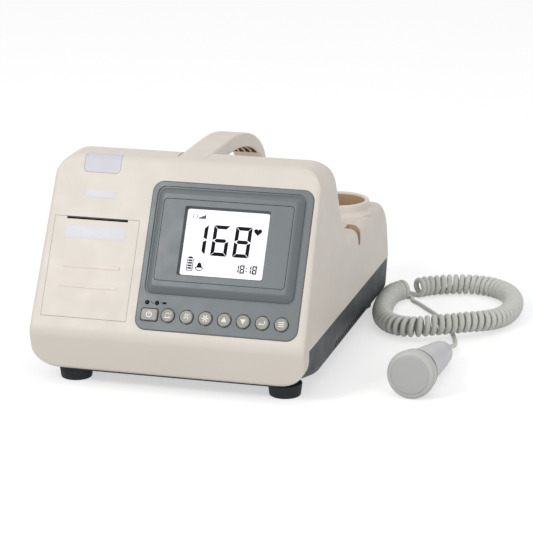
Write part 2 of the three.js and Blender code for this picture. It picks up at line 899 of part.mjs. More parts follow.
// Probe cup: a ring through the deck, a body below it and three ears under the deck
function probeCup() {
  const shoulder = deckHeight - wall - gap;
  const profileLine = [
    [0, cupBottomHeight], [cupBottomRadius, cupBottomHeight], [cupBodyRadius, shoulder - cupEarThickness],
    [cupRingRadius, shoulder - cupEarThickness], [cupRingRadius, cupRimHeight - cupRimRound],
    [cupRingRadius - cupRimRound / 2, cupRimHeight], [cupInnerRadius + cupRimRound / 2, cupRimHeight],
    [cupInnerRadius, cupRimHeight - cupRimRound], [cupInnerRadius, shoulder - cupEarThickness],
    [cupBottomRadius - cupFloor, cupBottomHeight + cupFloor], [0, cupBottomHeight + cupFloor],
  ];
  const ears = [1, 3, 5].map((third) => {
    const ear = block(
      [cupBodyRadius - overrun, cupEarReach],
      [-cupEarHalfWidth, cupEarHalfWidth],
      [shoulder - cupEarThickness, shoulder],
    );
    return solidOf(ear.rotateZ((third * Math.PI) / 3));
  });
  return toGeometry(join(toSolid(turned(profileLine, 24)), ...ears));
}

const cup = piece('probe_cup', probeCup(), creamPlastic);
cup.position.set(cupX, cupY, 0);

// Base shell: a tray whose front corners are large and whose heel lifts at the rear
const baseFront = chinBackDepth + gap;
const baseRear = caseDepth + baseRearOverhang;
const frontShares = [0, 0.5, 1];
const rearShares = [0, 0.5, 0.85, 1];

function baseForm(inset, lowest, highest) {
  const front = frontShares.map((share) => [
    baseFront + inset + share * (cornerBlendLength - inset),
    baseFrontCornerRadius - inset + share * (baseEdgeRadius - baseFrontCornerRadius),
    0,
  ]);
  const rear = rearShares.map((share) => [
    baseRear - rearRim + share * (rearRim - inset),
    baseEdgeRadius - inset / 2,
    share,
  ]);
  const sections = [...front, ...rear].map(([y, radius, share]) => {
    const reach = rearRim - inset;
    const plan = reach - Math.sqrt(reach ** 2 - (share * reach) ** 2);
    const rise = heelRise * Math.max(0, (y - (baseRear - heelLength)) / heelLength);
    const half = caseHalfWidth - baseStep - inset - plan;
    const low = lowest + rise;
    const [left, right] = [caseMiddle - half, caseMiddle + half];
    const outline = roundedOutline([
      [left + baseDraft, low, radius], [right - baseDraft, low, radius],
      [right, highest, 0], [left, highest, 0],
    ]);
    return outline.map((point) => new THREE.Vector3(point.x, y, point.y));
  });
  return loft(sections.toReversed(), ({ x, z }) => new THREE.Vector2(x, z));
}

function ventSlots() {
  const low = baseBottomHeight - overrun;
  const high = baseBottomHeight + ventHeight;
  return Array.from({ length: ventCount * 2 }, (_, i) => {
    const y = ventFrontDepth + ventPitch * Math.floor(i / 2);
    const slant = new THREE.Vector2(high - low, high - low);
    const outline = [
      new THREE.Vector2(y, low), new THREE.Vector2(y + ventWidth, low),
      new THREE.Vector2(y + ventWidth, low).add(slant), new THREE.Vector2(y, low).add(slant),
    ];
    const range = i % 2
      ? [caseRight - ventReach, caseRight + overrun]
      : [caseLeft - overrun, caseLeft + ventReach];
    return solidOf(prism(outline, ...range), across);
  });
}

const fourPlaces = ([left, right], frontY, rearY) => [
  [left, frontY], [right, frontY], [left, rearY], [right, rearY],
];
const footPlaces = fourPlaces(footX, footFrontDepth, footRearDepth);
const pillarPlaces = fourPlaces(pillarX, pillarFrontDepth, pillarRearDepth);
const floorTop = baseBottomHeight + baseFloor;
const footTop = baseBottomHeight - gap;
const chassisPosts = [chassisLeft + sideWall / 2, chassisRight - sideWall / 2];
const rollCentreY = rollV * Math.sin(faceLean) - rollN * Math.cos(faceLean);
const boardCorners = (left, right, front, back) => {
  const [first, last] = [left + boardPostRadius, right - boardPostRadius];
  const [near, far] = [front + boardPostRadius, back - boardPostRadius];
  return [[first, near], [last, near], [first, far], [last, far]];
};
const boardPosts = [
  ...boardCorners(mainBoardLeft, mainBoardRight, mainBoardFront, mainBoardBack),
  ...boardCorners(supplyLeft, supplyRight, supplyFront, supplyBack),
];

function baseShell() {
  const tray = cut(
    toSolid(baseForm(0, baseBottomHeight, partingHeight - gap)),
    toSolid(baseForm(baseWall, floorTop, partingHeight + overrun)),
  );
  const lipBack = rearDepth(partingHeight + lipHeight) - wall - gap;
  const lipRange = [partingHeight - wall, partingHeight + lipHeight];
  const lipRing = (inset, low, high) => solidOf(prism(roundedRectangle(
    [caseLeft + wall + gap + inset, caseRight - wall - gap - inset],
    [0, lipBack - inset],
    rearRim - wall - inset,
  ), low, high));
  const lip = cut(
    lipRing(0, ...lipRange),
    lipRing(lipThickness, lipRange[0] - overrun, lipRange[1] + overrun),
    solidOf(block([caseLeft, caseRight], [-overrun, lipFrontDepth], [0, topHeight])),
  );
  const pillar = (radius, low, high) => ([x, y]) => solidOf(rod(radius, low, high, 8).translate(x, y, 0));
  const hole = screwRadius + screwClearance;
  const bosses = [
    ...footPlaces.map(pillar(footBossRadius, floorTop - overrun, floorTop + footBossHeight)),
    ...pillarPlaces.map(pillar(caseBossRadius, floorTop - overrun, caseBossTopHeight)),
    ...boardPosts.map(([x, y]) => solidOf(
      rod(boardPostRadius, floorTop - overrun, boardHeight, 6).translate(x, y, 0),
    )),
    ...chassisPosts.map((x) => pillar(chassisPostRadius, floorTop - overrun, chassisFootHeight - gap)([
      x, rollCentreY,
    ])),
  ];
  const holes = [
    ...footPlaces.map(pillar(hole, 0, footTop + footStudLength + gap)),
    ...pillarPlaces.map(pillar(hole, 0, partingHeight)),
    ...pillarPlaces.map(pillar(counterboreRadius, 0, baseBottomHeight + counterboreDepth)),
  ];
  return cut(join(tray, lip, ...bosses), ...holes, ...ventSlots());
}

piece('base_shell', baseShell(), darkPlastic);

// Feet with their studs, and the case screws
const footShape = turned([
  [0, footHollowDepth], [footHollowRadius, footHollowDepth], [footHollowRadius, 0],
  [footRadius - footTaper, 0], [footRadius, footTop], [screwRadius, footTop],
  [screwRadius, footTop + footStudLength], [0, footTop + footStudLength],
], 14);
footPlaces.forEach(([x, y], i) => {
  piece(`foot_${i + 1}`, footShape, rubber).position.set(x, y, 0);
});
const caseScrewTop = baseBottomHeight + counterboreDepth - gap;
const screwShape = turned([
  [0, caseScrewTop - screwHeadHeight], [screwHeadRadius, caseScrewTop - screwHeadHeight],
  [screwHeadRadius, caseScrewTop], [screwRadius, caseScrewTop],
  [screwRadius, caseScrewTop + caseScrewLength], [0, caseScrewTop + caseScrewLength],
], 8);
pillarPlaces.forEach(([x, y], i) => {
  piece(`case_screw_${i + 1}`, screwShape, steel).position.set(x, y, 0);
});

// Control bezel
const bezelX = [bezelLeft, bezelRight];
const bezelV = [bezelBottom, bezelTop];
const spread = ([low, high], by) => [low - by, high + by];
const centred = (middle, size) => [middle - size / 2, middle + size / 2];
const keyX = (i) => firstKeyX + i * keyPitch;
const powerX = centred(powerKeyX, powerKeyWidth);
const powerV = centred(powerKeyV, powerKeyHeight);
const matX = [bezelLeft + bezelSkirtWall + gap, bezelRight - bezelSkirtWall - gap];
const postShares = [0.5, 3.5, 6.5];
const postX = postShares.map((share) => firstKeyX + share * keyPitch);

function controlBezel() {
  const plate = solidOf(pillow(bezelX, bezelV, bezelRadius, -bezelSkirtDepth, bezelRise, bezelEdge, 4));
  const flange = solidOf(prism(
    roundedRectangle(
      [bezelLeft - bezelFlange, bezelRight],
      spread(bezelV, bezelFlange),
      bezelRadius + bezelFlange,
    ),
    -bezelSkirtDepth,
    -bezelSkirtDepth + bezelFlangeThickness,
  ));
  const hollow = solidOf(prism(
    roundedRectangle(
      spread(bezelX, -bezelSkirtWall),
      spread(bezelV, -bezelSkirtWall),
      bezelRadius - bezelSkirtWall,
    ),
    -bezelSkirtDepth - overrun,
    -bezelPlateDepth,
  ));
  const frameX = [frameBaseLeft, frameBaseRight];
  const frameV = [frameBaseBottom, frameBaseTop];
  const frame = solidOf(tapered([
    raise(roundedRectangle(frameX, frameV, frameBaseRadius), 0),
    raise(roundedRectangle(frameX, frameV, frameBaseRadius), bezelRise),
    raise(
      roundedRectangle(spread(frameX, -frameSlope), spread(frameV, -frameSlope), frameTopRadius),
      frameHeight,
    ),
  ]));
  const lensRecess = solidOf(prism(
    roundedRectangle(
      centred(lensX, lensWidth + 2 * gap),
      centred(lensV, lensHeight + 2 * gap),
      lensRadius + gap,
      3,
    ),
    lensBack - gap,
    frameHeight + overrun,
  ));
  const window = solidOf(block(
    centred(lensX, panelWidth + 2 * gap),
    centred(lensV, panelHeight + 2 * gap),
    [-bezelSkirtDepth, frameHeight],
  ));
  const plateCut = (outline) => solidOf(prism(outline, -bezelSkirtDepth, bezelRise + overrun));
  const keyHoles = Array.from({ length: keyCount }, (_, i) => (
    plateCut(circle(keyRadius + gap, 12, keyX(i), keyV))
  ));
  const powerHole = plateCut(
    roundedRectangle(spread(powerX, gap), spread(powerV, gap), powerKeyRadius + gap, 2),
  );
  const lights = [0, 1].map((i) => (
    plateCut(circle(indicatorRadius + gap, 10, indicatorFirstX + i * indicatorPitch, indicatorV))
  ));
  const posts = postX.map((x) => solidOf(
    rod(keyPostRadius, matTop + gap, 0, 8).translate(x, keyBoardTop - keyPostInset, 0),
  ));
  const shell = join(cut(join(plate, flange), hollow), frame);
  return join(cut(shell, lensRecess, window, ...keyHoles, powerHole, ...lights), ...posts);
}

piece('control_bezel', controlBezel(), greyPlastic, faceGroup);

// Display frame, panel and board
function displayFrame() {
  const plate = solidOf(pillow(
    centred(lensX, lensWidth), centred(lensV, lensHeight), lensRadius, lensBack, frameHeight, smallRadius, 3,
  ));
  const slope = apertureSlope / (frameHeight - lensBack);
  const opening = (z) => {
    const inset = slope * (frameHeight - z);
    return raise(roundedRectangle(
      centred(lensX, apertureWidth - 2 * inset),
      centred(lensV, apertureHeight - 2 * inset),
      apertureRadius,
      2,
    ), z);
  };
  return cut(plate, solidOf(tapered([opening(lensBack - gap), opening(frameHeight + gap)])));
}

piece('display_frame', displayFrame(), greyPlastic, faceGroup);
const panelShape = block(
  centred(lensX, panelWidth),
  centred(lensV, panelHeight),
  [panelBack, lensBack - gap],
);
piece('lcd_panel', panelShape, screenGlass, faceGroup);
const boardTop = -bezelPlateDepth - gap;
const lcdBoardShape = block(
  centred(lensX, displayBoardWidth),
  centred(lensV, displayBoardHeight),
  [boardTop - boardThickness, boardTop],
);
piece('lcd_board', lcdBoardShape, boardGreen, faceGroup);

// Keys, their mat and board
const flangeTop = -bezelPlateDepth - gap;
const keyShape = turned([
  [0, flangeTop - keyFlangeThickness], [keyRadius + keyFlange, flangeTop - keyFlangeThickness],
  [keyRadius + keyFlange, flangeTop], [keyRadius, flangeTop], [keyRadius, keyTop - keyEdge],
  [keyRadius - keyEdge, keyTop], [0, keyTop],
], 12);
for (let i = 0; i < keyCount; i += 1) {
  const key = piece(`key_${i + 1}`, keyShape, keyPlastic, faceGroup);
  key.position.set(keyX(i), keyV, 0);
}
const powerKey = join(
  solidOf(pillow(powerX, powerV, powerKeyRadius, flangeTop - keyFlangeThickness, keyTop, keyEdge, 3)),
  solidOf(block(
    spread(powerX, keyFlange),
    spread(powerV, keyFlange),
    [flangeTop - keyFlangeThickness, flangeTop],
  )),
);
piece('power_key', powerKey, keyPlastic, faceGroup);

const matOutline = roundedRectangle(matX, [keyBoardBottom, keyBoardTop], bezelRadius, 2);
const domes = [powerX[0] + powerKeyWidth / 2, ...Array.from({ length: keyCount }, (_, i) => keyX(i))];
const lightHoles = [0, 1].map((i) => solidOf(prism(
  circle(indicatorRadius + gap, 10, indicatorFirstX + i * indicatorPitch, indicatorV),
  matTop - matThickness - overrun,
  0,
)));
const keyMat = cut(
  join(
    solidOf(prism(matOutline, matTop - matThickness, matTop)),
    ...domes.map((x) => solidOf(
      rod(domeRadius, matTop - matThickness, matTop + domeHeight, 6).translate(x, keyV, 0),
    )),
  ),
  ...lightHoles,
);
piece('keypad_mat', keyMat, rubber, faceGroup);
const keyBoardSurface = matTop - matThickness - gap;
const keyBoardShape = prism(matOutline, keyBoardSurface - boardThickness, keyBoardSurface);
piece('keypad_board', keyBoardShape, boardGreen, faceGroup);
const lightX = [0, 1].map((i) => indicatorFirstX + i * indicatorPitch);
const bridgeBottom = matTop + gap;
const lightPair = join(
  solidOf(block(
    lightX,
    centred(indicatorV, indicatorRadius),
    [bridgeBottom, bridgeBottom + indicatorRadius],
  )),
  ...lightX.map((x) => solidOf(
    rod(indicatorRadius, keyBoardSurface + gap, indicatorTop, 10).translate(x, indicatorV, 0),
  )),
);
piece('indicator_lights', lightPair, blackPlastic, faceGroup);

// Alarm lamp board, under the lens
const lampBoardShape = block(
  [lampLeft + gap + lampWall, lampRight - gap - lampWall],
  [lampBottom - lampBoardOverlap, lampBottom + lampBoardReach],
  [-wall - gap - boardThickness, -wall - gap],
);
piece('alarm_lamp_board', lampBoardShape, boardGreen, faceGroup);

// Printer door with its hinge arms and platen brackets
const slotCentre = (slotLeft + slotRight) / 2;
const platenHalf = rollWidth / 2;
const armPlaces = [doorLeft + armInset, doorRight - armInset - armWidth];
const bracketPlaces = [slotCentre - platenHalf - gap - bracketThickness, slotCentre + platenHalf + gap];

function printerDoor() {
  const slab = solidOf(block([doorLeft, doorRight], [doorBottom, doorTop], [-doorThickness, 0]));
  const slot = solidOf(block(
    [slotLeft, slotRight],
    [slotBottom, doorTop + overrun],
    [-doorThickness - overrun, overrun],
  ));
  const hingeToEdge = Math.hypot(doorBottom - hingeV, hingeN);
  const undercut = solidOf(
    prism(circle(hingeToEdge, 48, hingeV, hingeN), doorLeft - overrun, doorRight + overrun),
    across,
  );
  const ribs = ribV.map((v) => solidOf(pillow(
    [ribLeft, ribRight], [v, v + ribHeight], ribHeight / 2, -doorThickness, ribRise, ribRise / 2, 2,
  )));
  const plate = join(cut(slab, slot, undercut), ...ribs);
  const armOutline = [
    ...arc(armBoss, Math.PI / 2, Math.PI, 3, hingeV, hingeN),
    new THREE.Vector2(hingeV - armBoss, hingeN - armDrop),
    new THREE.Vector2(hingeV + armBack, hingeN - armDrop),
    new THREE.Vector2(hingeV + armBack, -doorThickness / 2),
    new THREE.Vector2(hingeV + armFront, -doorThickness / 2),
    new THREE.Vector2(hingeV + armFront, hingeN - armTop),
    new THREE.Vector2(hingeV + armBoss, hingeN - armTop),
    ...arc(armBoss, 0, Math.PI / 2, 3, hingeV, hingeN),
  ];
  const arms = armPlaces.map((left) => cut(
    solidOf(prism(armOutline, left, left + armWidth), across),
    solidOf(
      prism(circle(pinRadius + gap, 10, hingeV, hingeN), left - overrun, left + armWidth + overrun),
      across,
    ),
  ));
  const brackets = bracketPlaces.map((left) => cut(
    solidOf(prism(
      rectangle(
        [platenV - bracketHalfHeight, platenV + bracketHalfHeight],
        [platenN - bracketReach, -doorThickness / 2],
      ),
      left,
      left + bracketThickness,
    ), across),
    solidOf(prism(
      circle(platenShaftRadius + gap, 10, platenV, platenN),
      left - overrun,
      left + bracketThickness + overrun,
    ), across),
  ));
  return join(plate, ...arms, ...brackets);
}

piece('printer_door', printerDoor(), creamPlastic, faceGroup);
const pinOutline = circle(pinRadius, 8, hingeV, hingeN);
const pinShape = prism(pinOutline, doorLeft + gap, doorRight - gap).applyMatrix4(across);
piece('door_hinge_pin', pinShape, steel, faceGroup);

// Printer chassis: paper bucket, side plates, top beam and feet on the base's posts
const feedN = platenN - ((platenTeeth + feedTeeth) * gearModule) / 2;
const pinionDistance = ((feedTeeth + pinionTeeth) * gearModule) / 2;
const pinionAngle = degrees(225);
const pinionV = platenV + pinionDistance * Math.cos(pinionAngle);
const pinionN = feedN + pinionDistance * Math.sin(pinionAngle);
const bucketInner = rollRadius + gap;
const bucketOuter = bucketInner + bucketWall;

function printerChassis() {
  const bucket = [
    ...arc(bucketOuter, bucketStartAngle, bucketEndAngle, 12, rollV, rollN),
    ...arc(bucketInner, bucketStartAngle, bucketEndAngle, 12, rollV, rollN).reverse(),
  ];
  const plateOutline = [
    ...arc(bucketOuter, sideStartAngle, sideEndAngle, 6, rollV, rollN),
    new THREE.Vector2(beamTop, rollN - bucketOuter + wall),
    new THREE.Vector2(beamTop, beamFront),
    new THREE.Vector2(beamBottom - bracketHalfHeight, beamFront - sideSetback),
    new THREE.Vector2(rollV + bucketOuter, beamFront - sideSetback),
  ];
  const sides = [chassisLeft, chassisRight - sideWall].map((left) => (
    solidOf(prism(plateOutline, left, left + sideWall), across)
  ));
  const beam = solidOf(block([chassisLeft, chassisRight], [beamBottom, beamTop], [beamBack, beamFront]));
  const trough = solidOf(prism(bucket, chassisLeft, chassisRight), across);
  const stub = solidOf(rod(stubRadius, 0, gearWidth + gap, 10).rotateY(-Math.PI / 2).translate(
    chassisRight - sideWall, platenV, feedN,
  ));
  const toFace = faceFrame.clone().invert();
  const legTop = chassisFootHeight + chassisLegLength;
  const legs = chassisPosts.map((x) => solidOf(
    rod(chassisPostRadius, chassisFootHeight, legTop, 12).translate(x, rollCentreY, 0),
    toFace,
  ));
  const rollRoom = solidOf(
    prism(circle(bucketInner, 24, rollV, rollN), chassisLeft + sideWall, chassisRight - sideWall),
    across,
  );
  const shaftOutline = circle(motorShaftRadius + gap, 10, pinionV, pinionN);
  const shaftHole = solidOf(
    prism(shaftOutline, chassisRight - sideWall - overrun, chassisRight + overrun),
    across,
  );
  return cut(join(trough, ...sides, beam, stub, ...legs), rollRoom, shaftHole);
}

piece('printer_chassis', printerChassis(), blackPlastic, faceGroup);
const rollRing = turned([
  [rollCoreRadius, -rollWidth / 2], [rollRadius, -rollWidth / 2], [rollRadius, rollWidth / 2],
  [rollCoreRadius, rollWidth / 2], [rollCoreRadius, -rollWidth / 2],
], 24).rotateY(Math.PI / 2);
const roll = piece('paper_roll', rollRing, paper, faceGroup);
roll.position.set(rollX, rollV, rollN);
const headN = platenN - platenRadius - gap;
const headShape = block(
  [slotLeft, slotRight],
  [headBottom, beamBottom - gap],
  [headN - headThickness, headN],
);
piece('print_head', headShape, boardGreen, faceGroup);

// Tear bar: a blade in the slot on a strip that hangs from the chassis beam
const bladeX = [slotLeft + gap, slotRight - gap];
const stripFront = beamFront + gap + tearBarThickness;
const tearBar = join(
  solidOf(block(bladeX, [doorTop - tearBarDrop, doorTop], [beamFront + gap, -tearBarDrop])),
  solidOf(block(bladeX, [doorTop - tearBarDrop, beamTop], [beamFront + gap, stripFront])),
);
piece('tear_bar', tearBar, steel, faceGroup);

// Platen, gears and motor
const platenToothAngle = -Math.PI / 2;
const feedToothAngle = Math.PI / 2 + Math.PI / feedTeeth;
const feedToPinion = pinionAngle;
const feedStep = (2 * Math.PI) / feedTeeth;
const feedNearest = feedToothAngle + Math.round((feedToPinion - feedToothAngle) / feedStep) * feedStep;
const feedOffset = ((feedNearest - feedToPinion) * feedTeeth) / pinionTeeth;
const pinionToothAngle = pinionAngle + Math.PI - feedOffset + Math.PI / pinionTeeth;
const gearPrism = (teeth, turn) => prism(gearOutline(teeth, turn), 0, gearWidth).applyMatrix4(across);

const shaftEnds = [-platenHalf - bracketThickness - gap, gearLeft - slotCentre + gearWidth];
const platen = join(
  solidOf(prism(circle(platenRadius, 16), -platenHalf, platenHalf), across),
  solidOf(prism(circle(platenShaftRadius, 8), ...shaftEnds), across),
  solidOf(gearPrism(platenTeeth, platenToothAngle).translate(gearLeft - slotCentre, 0, 0)),
);
const platenMesh = piece('platen_roller', platen, rubber, faceGroup);
platenMesh.position.set(slotCentre, platenV, platenN);
const bored = (teeth, turn, bore) => cut(
  solidOf(gearPrism(teeth, turn)),
  solidOf(prism(circle(bore, 12), -overrun, gearWidth + overrun), across),
);
const feedGear = piece(
  'feed_gear', bored(feedTeeth, feedToothAngle, gearBoreRadius), keyPlastic, faceGroup,
);
feedGear.position.set(gearLeft, platenV, feedN);
const pinion = piece(
  'motor_pinion', bored(pinionTeeth, pinionToothAngle, motorShaftRadius + gap), brass, faceGroup,
);
pinion.position.set(gearLeft, pinionV, pinionN);
const motor = join(
  solidOf(prism(circle(motorRadius, 20), chassisRight + gap, chassisRight + gap + motorLength), across),
  solidOf(prism(circle(motorShaftRadius, 8), gearLeft, chassisRight + overrun), across),
);
const motorMesh = piece('printer_motor', motor, steel, faceGroup);
motorMesh.position.set(0, pinionV, pinionN);

// Rear wall: power inlet with its pins, probe socket, plug and strain relief
function inRear(name, x, shape, material) {
  const group = new THREE.Group();
  group.applyMatrix4(rearFrame(x));
  assembly.add(group);
  return piece(name, shape, material, group);
}

const inlet = cut(
  join(
    solidOf(block(centred(0, inletWidth), centred(0, inletHeight), [gap, gap + inletFlange])),
    solidOf(block(
      centred(0, inletWidth - 2 * inletFlange),
      centred(0, inletHeight - 2 * inletFlange),
      [-inletDepth, gap + inletFlange / 2],
    )),
  ),
  solidOf(block(
    centred(0, inletCavityWidth), centred(0, inletCavityHeight),
    [gap + inletFlange - inletCavityDepth, gap + inletFlange + overrun],
  )),
);
inRear('power_inlet', inletX, inlet, blackPlastic);
const pinBase = gap + inletFlange - inletCavityDepth + gap;
const pinPlate = solidOf(block(
  centred(0, inletCavityWidth - 4 * gap),
  centred(0, inletCavityHeight - 4 * gap),
  [pinBase, pinBase + inletPinThickness / 2],
));
const inletPins = join(pinPlate, ...[[-1, -1], [0, 1], [1, -1]].map(([place, side]) => solidOf(block(
  centred(place * inletPinPitch, inletPinThickness),
  centred((side * inletPinWidth) / 2, inletPinWidth),
  [pinBase, pinBase + inletPinLength],
))));
inRear('inlet_pins', inletX, inletPins, steel);

const socketTop = gap + probeSocketRise;
const probeSocketShape = turned([
  [0, -probeSocketDepth], [probeSocketRadius - inletFlange, -probeSocketDepth],
  [probeSocketRadius - inletFlange, gap], [probeSocketRadius, gap], [probeSocketRadius, socketTop],
  [probeSocketHoleRadius, socketTop], [probeSocketHoleRadius, socketTop - plugNoseLength - gap],
  [0, socketTop - plugNoseLength - gap],
], 16);
inRear('probe_socket', probeSocketX, probeSocketShape, blackPlastic);
const plugStart = socketTop + gap;
const plugEnd = plugStart + plugLength;
const plugShape = turned([
  [0, socketTop - plugNoseLength], [plugNoseRadius, socketTop - plugNoseLength],
  [plugNoseRadius, plugStart], [plugRadius, plugStart], [plugRadius, plugEnd - probeSocketRise],
  [plugRadius - probeSocketRise, plugEnd], [0, plugEnd],
], 16);
inRear('probe_plug', probeSocketX, plugShape, cordPlastic);
const reliefEnd = plugEnd + gap + reliefLength;
const reliefShape = turned([
  [0, plugEnd + gap], [reliefRadius, plugEnd + gap], [wireRadius + gap, reliefEnd], [0, reliefEnd],
], 8);
inRear('plug_strain_relief', probeSocketX, reliefShape, cordPlastic);

// Inside the base: boards, battery, speaker
const boardShape = (left, right, front, back) => block(
  [left, right], [front, back], [boardHeight + gap, boardHeight + gap + boardThickness],
);
piece('main_board', boardShape(mainBoardLeft, mainBoardRight, mainBoardFront, mainBoardBack), boardGreen);
piece('power_supply_board', boardShape(supplyLeft, supplyRight, supplyFront, supplyBack), boardGreen);
const batteryShape = pillow(
  [batteryLeft, batteryRight], [batteryFront, batteryBack], boardPostRadius,
  floorTop + gap, floorTop + batteryHeight, wall, 2,
);
piece('battery_pack', batteryShape, batteryWrap);
const speakerShape = turned([
  [0, floorTop + gap], [speakerRadius, floorTop + gap], [speakerRadius, floorTop + gap + wall],
  [speakerMagnetRadius, floorTop + speakerHeight / 2], [speakerMagnetRadius, floorTop + speakerHeight],
  [0, floorTop + speakerHeight],
], 16);
const speaker = piece('speaker', speakerShape, blackPlastic);
speaker.position.set(speakerX, speakerY, 0);

// Probe, lying on its head and its tail
const headRearRadius = probeBandRadius + smallRadius;
const probeTilt = Math.atan((headRearRadius - probeTailRadius) / (probeTailFlat - probeHeadEnd));
const probeLift = probeHeadEnd * Math.sin(probeTilt) + headRearRadius * Math.cos(probeTilt);
const probeGroup = new THREE.Group();
probeGroup.rotation.set(-Math.PI / 2 + -probeTilt, 0, 0);
const probeTurntable = new THREE.Group();
probeTurntable.rotation.z = probeTurn;
probeTurntable.position.set(probeFaceX, probeFaceY, probeLift + probeRest);
probeTurntable.add(probeGroup);
assembly.add(probeTurntable);

const probePiece = (name, profileLine, material, sides = 20) => (
  piece(name, turned(profileLine, sides), material, probeGroup)
);
const faceSeat = probeFaceThickness + gap;
const headBore = probeHeadRadius - probeHeadWall;
probePiece('probe_face', [
  [0, -probeFaceDome], [probeFaceRadius * faceDomeShare, -probeFaceDome * faceDomeShare],
  [probeFaceRadius, 0], [probeFaceRadius, probeFaceThickness], [0, probeFaceThickness],
], probeRubber);
probePiece('probe_head', [
  [headBore - gap, faceSeat], [probeFaceRadius + gap, faceSeat], [probeFaceRadius + gap, 0],
  [probeHeadRadius - smallRadius, smallRadius], [probeHeadRadius, probeHeadShoulder],
  [headRearRadius, probeHeadEnd], [headBore - gap, probeHeadEnd], [headBore - gap, faceSeat],
], probePlastic);
const discStart = faceSeat + gap;
probePiece('transducer_disc', [
  [0, discStart], [discRadius, discStart], [discRadius, discStart + discThickness],
  [0, discStart + discThickness],
], brass, 16);
const bandStart = probeHeadEnd + gap;
const bandEnd = bandStart + probeBandLength;
probePiece('probe_band', [
  [probeSpigotRadius + gap, bandStart], [probeBandRadius, bandStart], [probeBandRadius, bandEnd],
  [probeSpigotRadius + gap, bandEnd], [probeSpigotRadius + gap, bandStart],
], blackPlastic);
const bodyStart = bandEnd + gap;
const bodyMiddle = (probeNeckEnd + probeTailFlat) / 2;
probePiece('probe_body', [
  [0, discStart + discThickness + gap], [probeSpigotRadius, discStart + discThickness + gap],
  [probeSpigotRadius, bodyStart], [probeShoulderRadius, bodyStart],
  [probeNeckRadius, probeNeckEnd], [probeGripRadius, bodyMiddle],
  [probeTailRadius, probeTailFlat], [probeTailShoulder, probeTailEnd - smallRadius * 2],
  [probeTailEndRadius, probeTailEnd], [0, probeTailEnd],
], probePlastic);
const probeReliefEnd = probeTailEnd + gap + probeReliefLength;
const probeRelief = probePiece('probe_strain_relief', [
  [0, probeTailEnd + gap], [reliefRadius, probeTailEnd + gap], [wireRadius + gap, probeReliefEnd],
  [0, probeReliefEnd],
], cordPlastic, 8);

// Curly cord: one unbroken wire wound round a route on the floor, over its own lead
const crossing = new THREE.Vector2(...crossingPoint);

function coilCentreLine() {
  const route = coilRoute.map(([x, y]) => {
    const distance = new THREE.Vector2(x, y).distanceTo(crossing);
    const near = Math.max(0, 1 - distance / crossingLength);
    const hump = Math.min(1, humpShare * near * near * (3 - 2 * near));
    return new THREE.Vector3(x, y, coilHeight + (crossingHeight - coilHeight) * hump);
  });
  return new THREE.CatmullRomCurve3(route);
}

function helixPoints() {
  const line = coilCentreLine();
  line.arcLengthDivisions = coilTurns * coilTurnSteps;
  const steps = coilTurns * coilTurnSteps;
  const points = [];
  for (let i = 0; i <= steps; i += 1) {
    const share = i / steps;
    const centre = line.getPointAt(share);
    const along = line.getTangentAt(share);
    const side = along.clone().cross(new THREE.Vector3(0, 0, 1)).normalize();
    const up = side.clone().cross(along);
    const angle = -Math.PI / 2 + (2 * Math.PI * i) / coilTurnSteps;
    const radial = side.multiplyScalar(Math.cos(angle)).addScaledVector(up, Math.sin(angle));
    points.push({ centre, radial, at: centre.clone().addScaledVector(radial, coilRadius) });
  }
  return points;
}

function windWire() {
  const turns = helixPoints();
  const last = turns.length - 1;
  const heading = (i) => {
    const [before, after] = [turns[Math.max(i - 1, 0)].at, turns[Math.min(i + 1, last)].at];
    return after.clone().sub(before).normalize();
  };
  const ring = (at, radial, along) => {
    const third = along.clone().cross(radial).normalize();
    return Array.from({ length: coilSides }, (_, i) => {
      const angle = (2 * Math.PI * i) / coilSides;
      return at.clone()
        .addScaledVector(radial, wireRadius * Math.cos(angle))
        .addScaledVector(third, wireRadius * Math.sin(angle));
    });
  };
  const flat = (direction) => direction.clone().setZ(0).normalize();
  const startWay = flat(heading(0));
  const endWay = flat(heading(last));
  const start = turns[0].at.clone().addScaledVector(startWay, -2 * wireRadius);
  const end = turns[last].at.clone().addScaledVector(endWay, 2 * wireRadius);
  const square = (radial, way) => radial.clone().addScaledVector(way, -radial.dot(way)).normalize();
  const rings = [
    ring(start, square(turns[0].radial, startWay), startWay),
    ...turns.map(({ at, radial }, i) => {
      const way = i === 0 ? startWay : i === last ? endWay : heading(i);
      return ring(at, square(radial, way), way);
    }),
    ring(end, square(turns[last].radial, endWay), endWay),
  ];
  const count = coilSides;
  const faces = [];
  for (let row = 0; row < rings.length - 1; row += 1) {
    for (let i = 0; i < count; i += 1) {
      const a = row * count + i;
      const b = row * count + ((i + 1) % count);
      faces.push(a, b, b + count, a, b + count, a + count);
    }
  }
  const top = (rings.length - 1) * count;
  for (let i = 1; i < count - 1; i += 1) faces.push(0, i + 1, i, top, top + i, top + i + 1);
  const geometry = new THREE.BufferGeometry().setFromPoints(rings.flat());
  geometry.setIndex(faces);
  return { geometry, turns, start, startWay, end, endWay };
}

function leastGap(turns) {
  let least = Infinity;
  for (let i = 0; i < turns.length; i += 1) {
    for (let j = i + coilTurnSteps - 2; j < turns.length; j += 1) {
      const apart = turns[i].at.distanceTo(turns[j].at) - 2 * wireRadius;
      if (apart < least) least = apart;
    }
  }
  return least;
}

const wire = windWire();
console.log(`curly cord: least gap to itself ${leastGap(wire.turns).toFixed(2)} mm`);
console.log(`curly cord: length along its turns ${coilCentreLine().getLength().toFixed(0)} mm`);
piece('cord_coil', wire.geometry, cordPlastic);

// Leads: straight out of the coil's ends to the probe and to the plug
const toPoints = (route) => route.map((point) => new THREE.Vector3(...point));

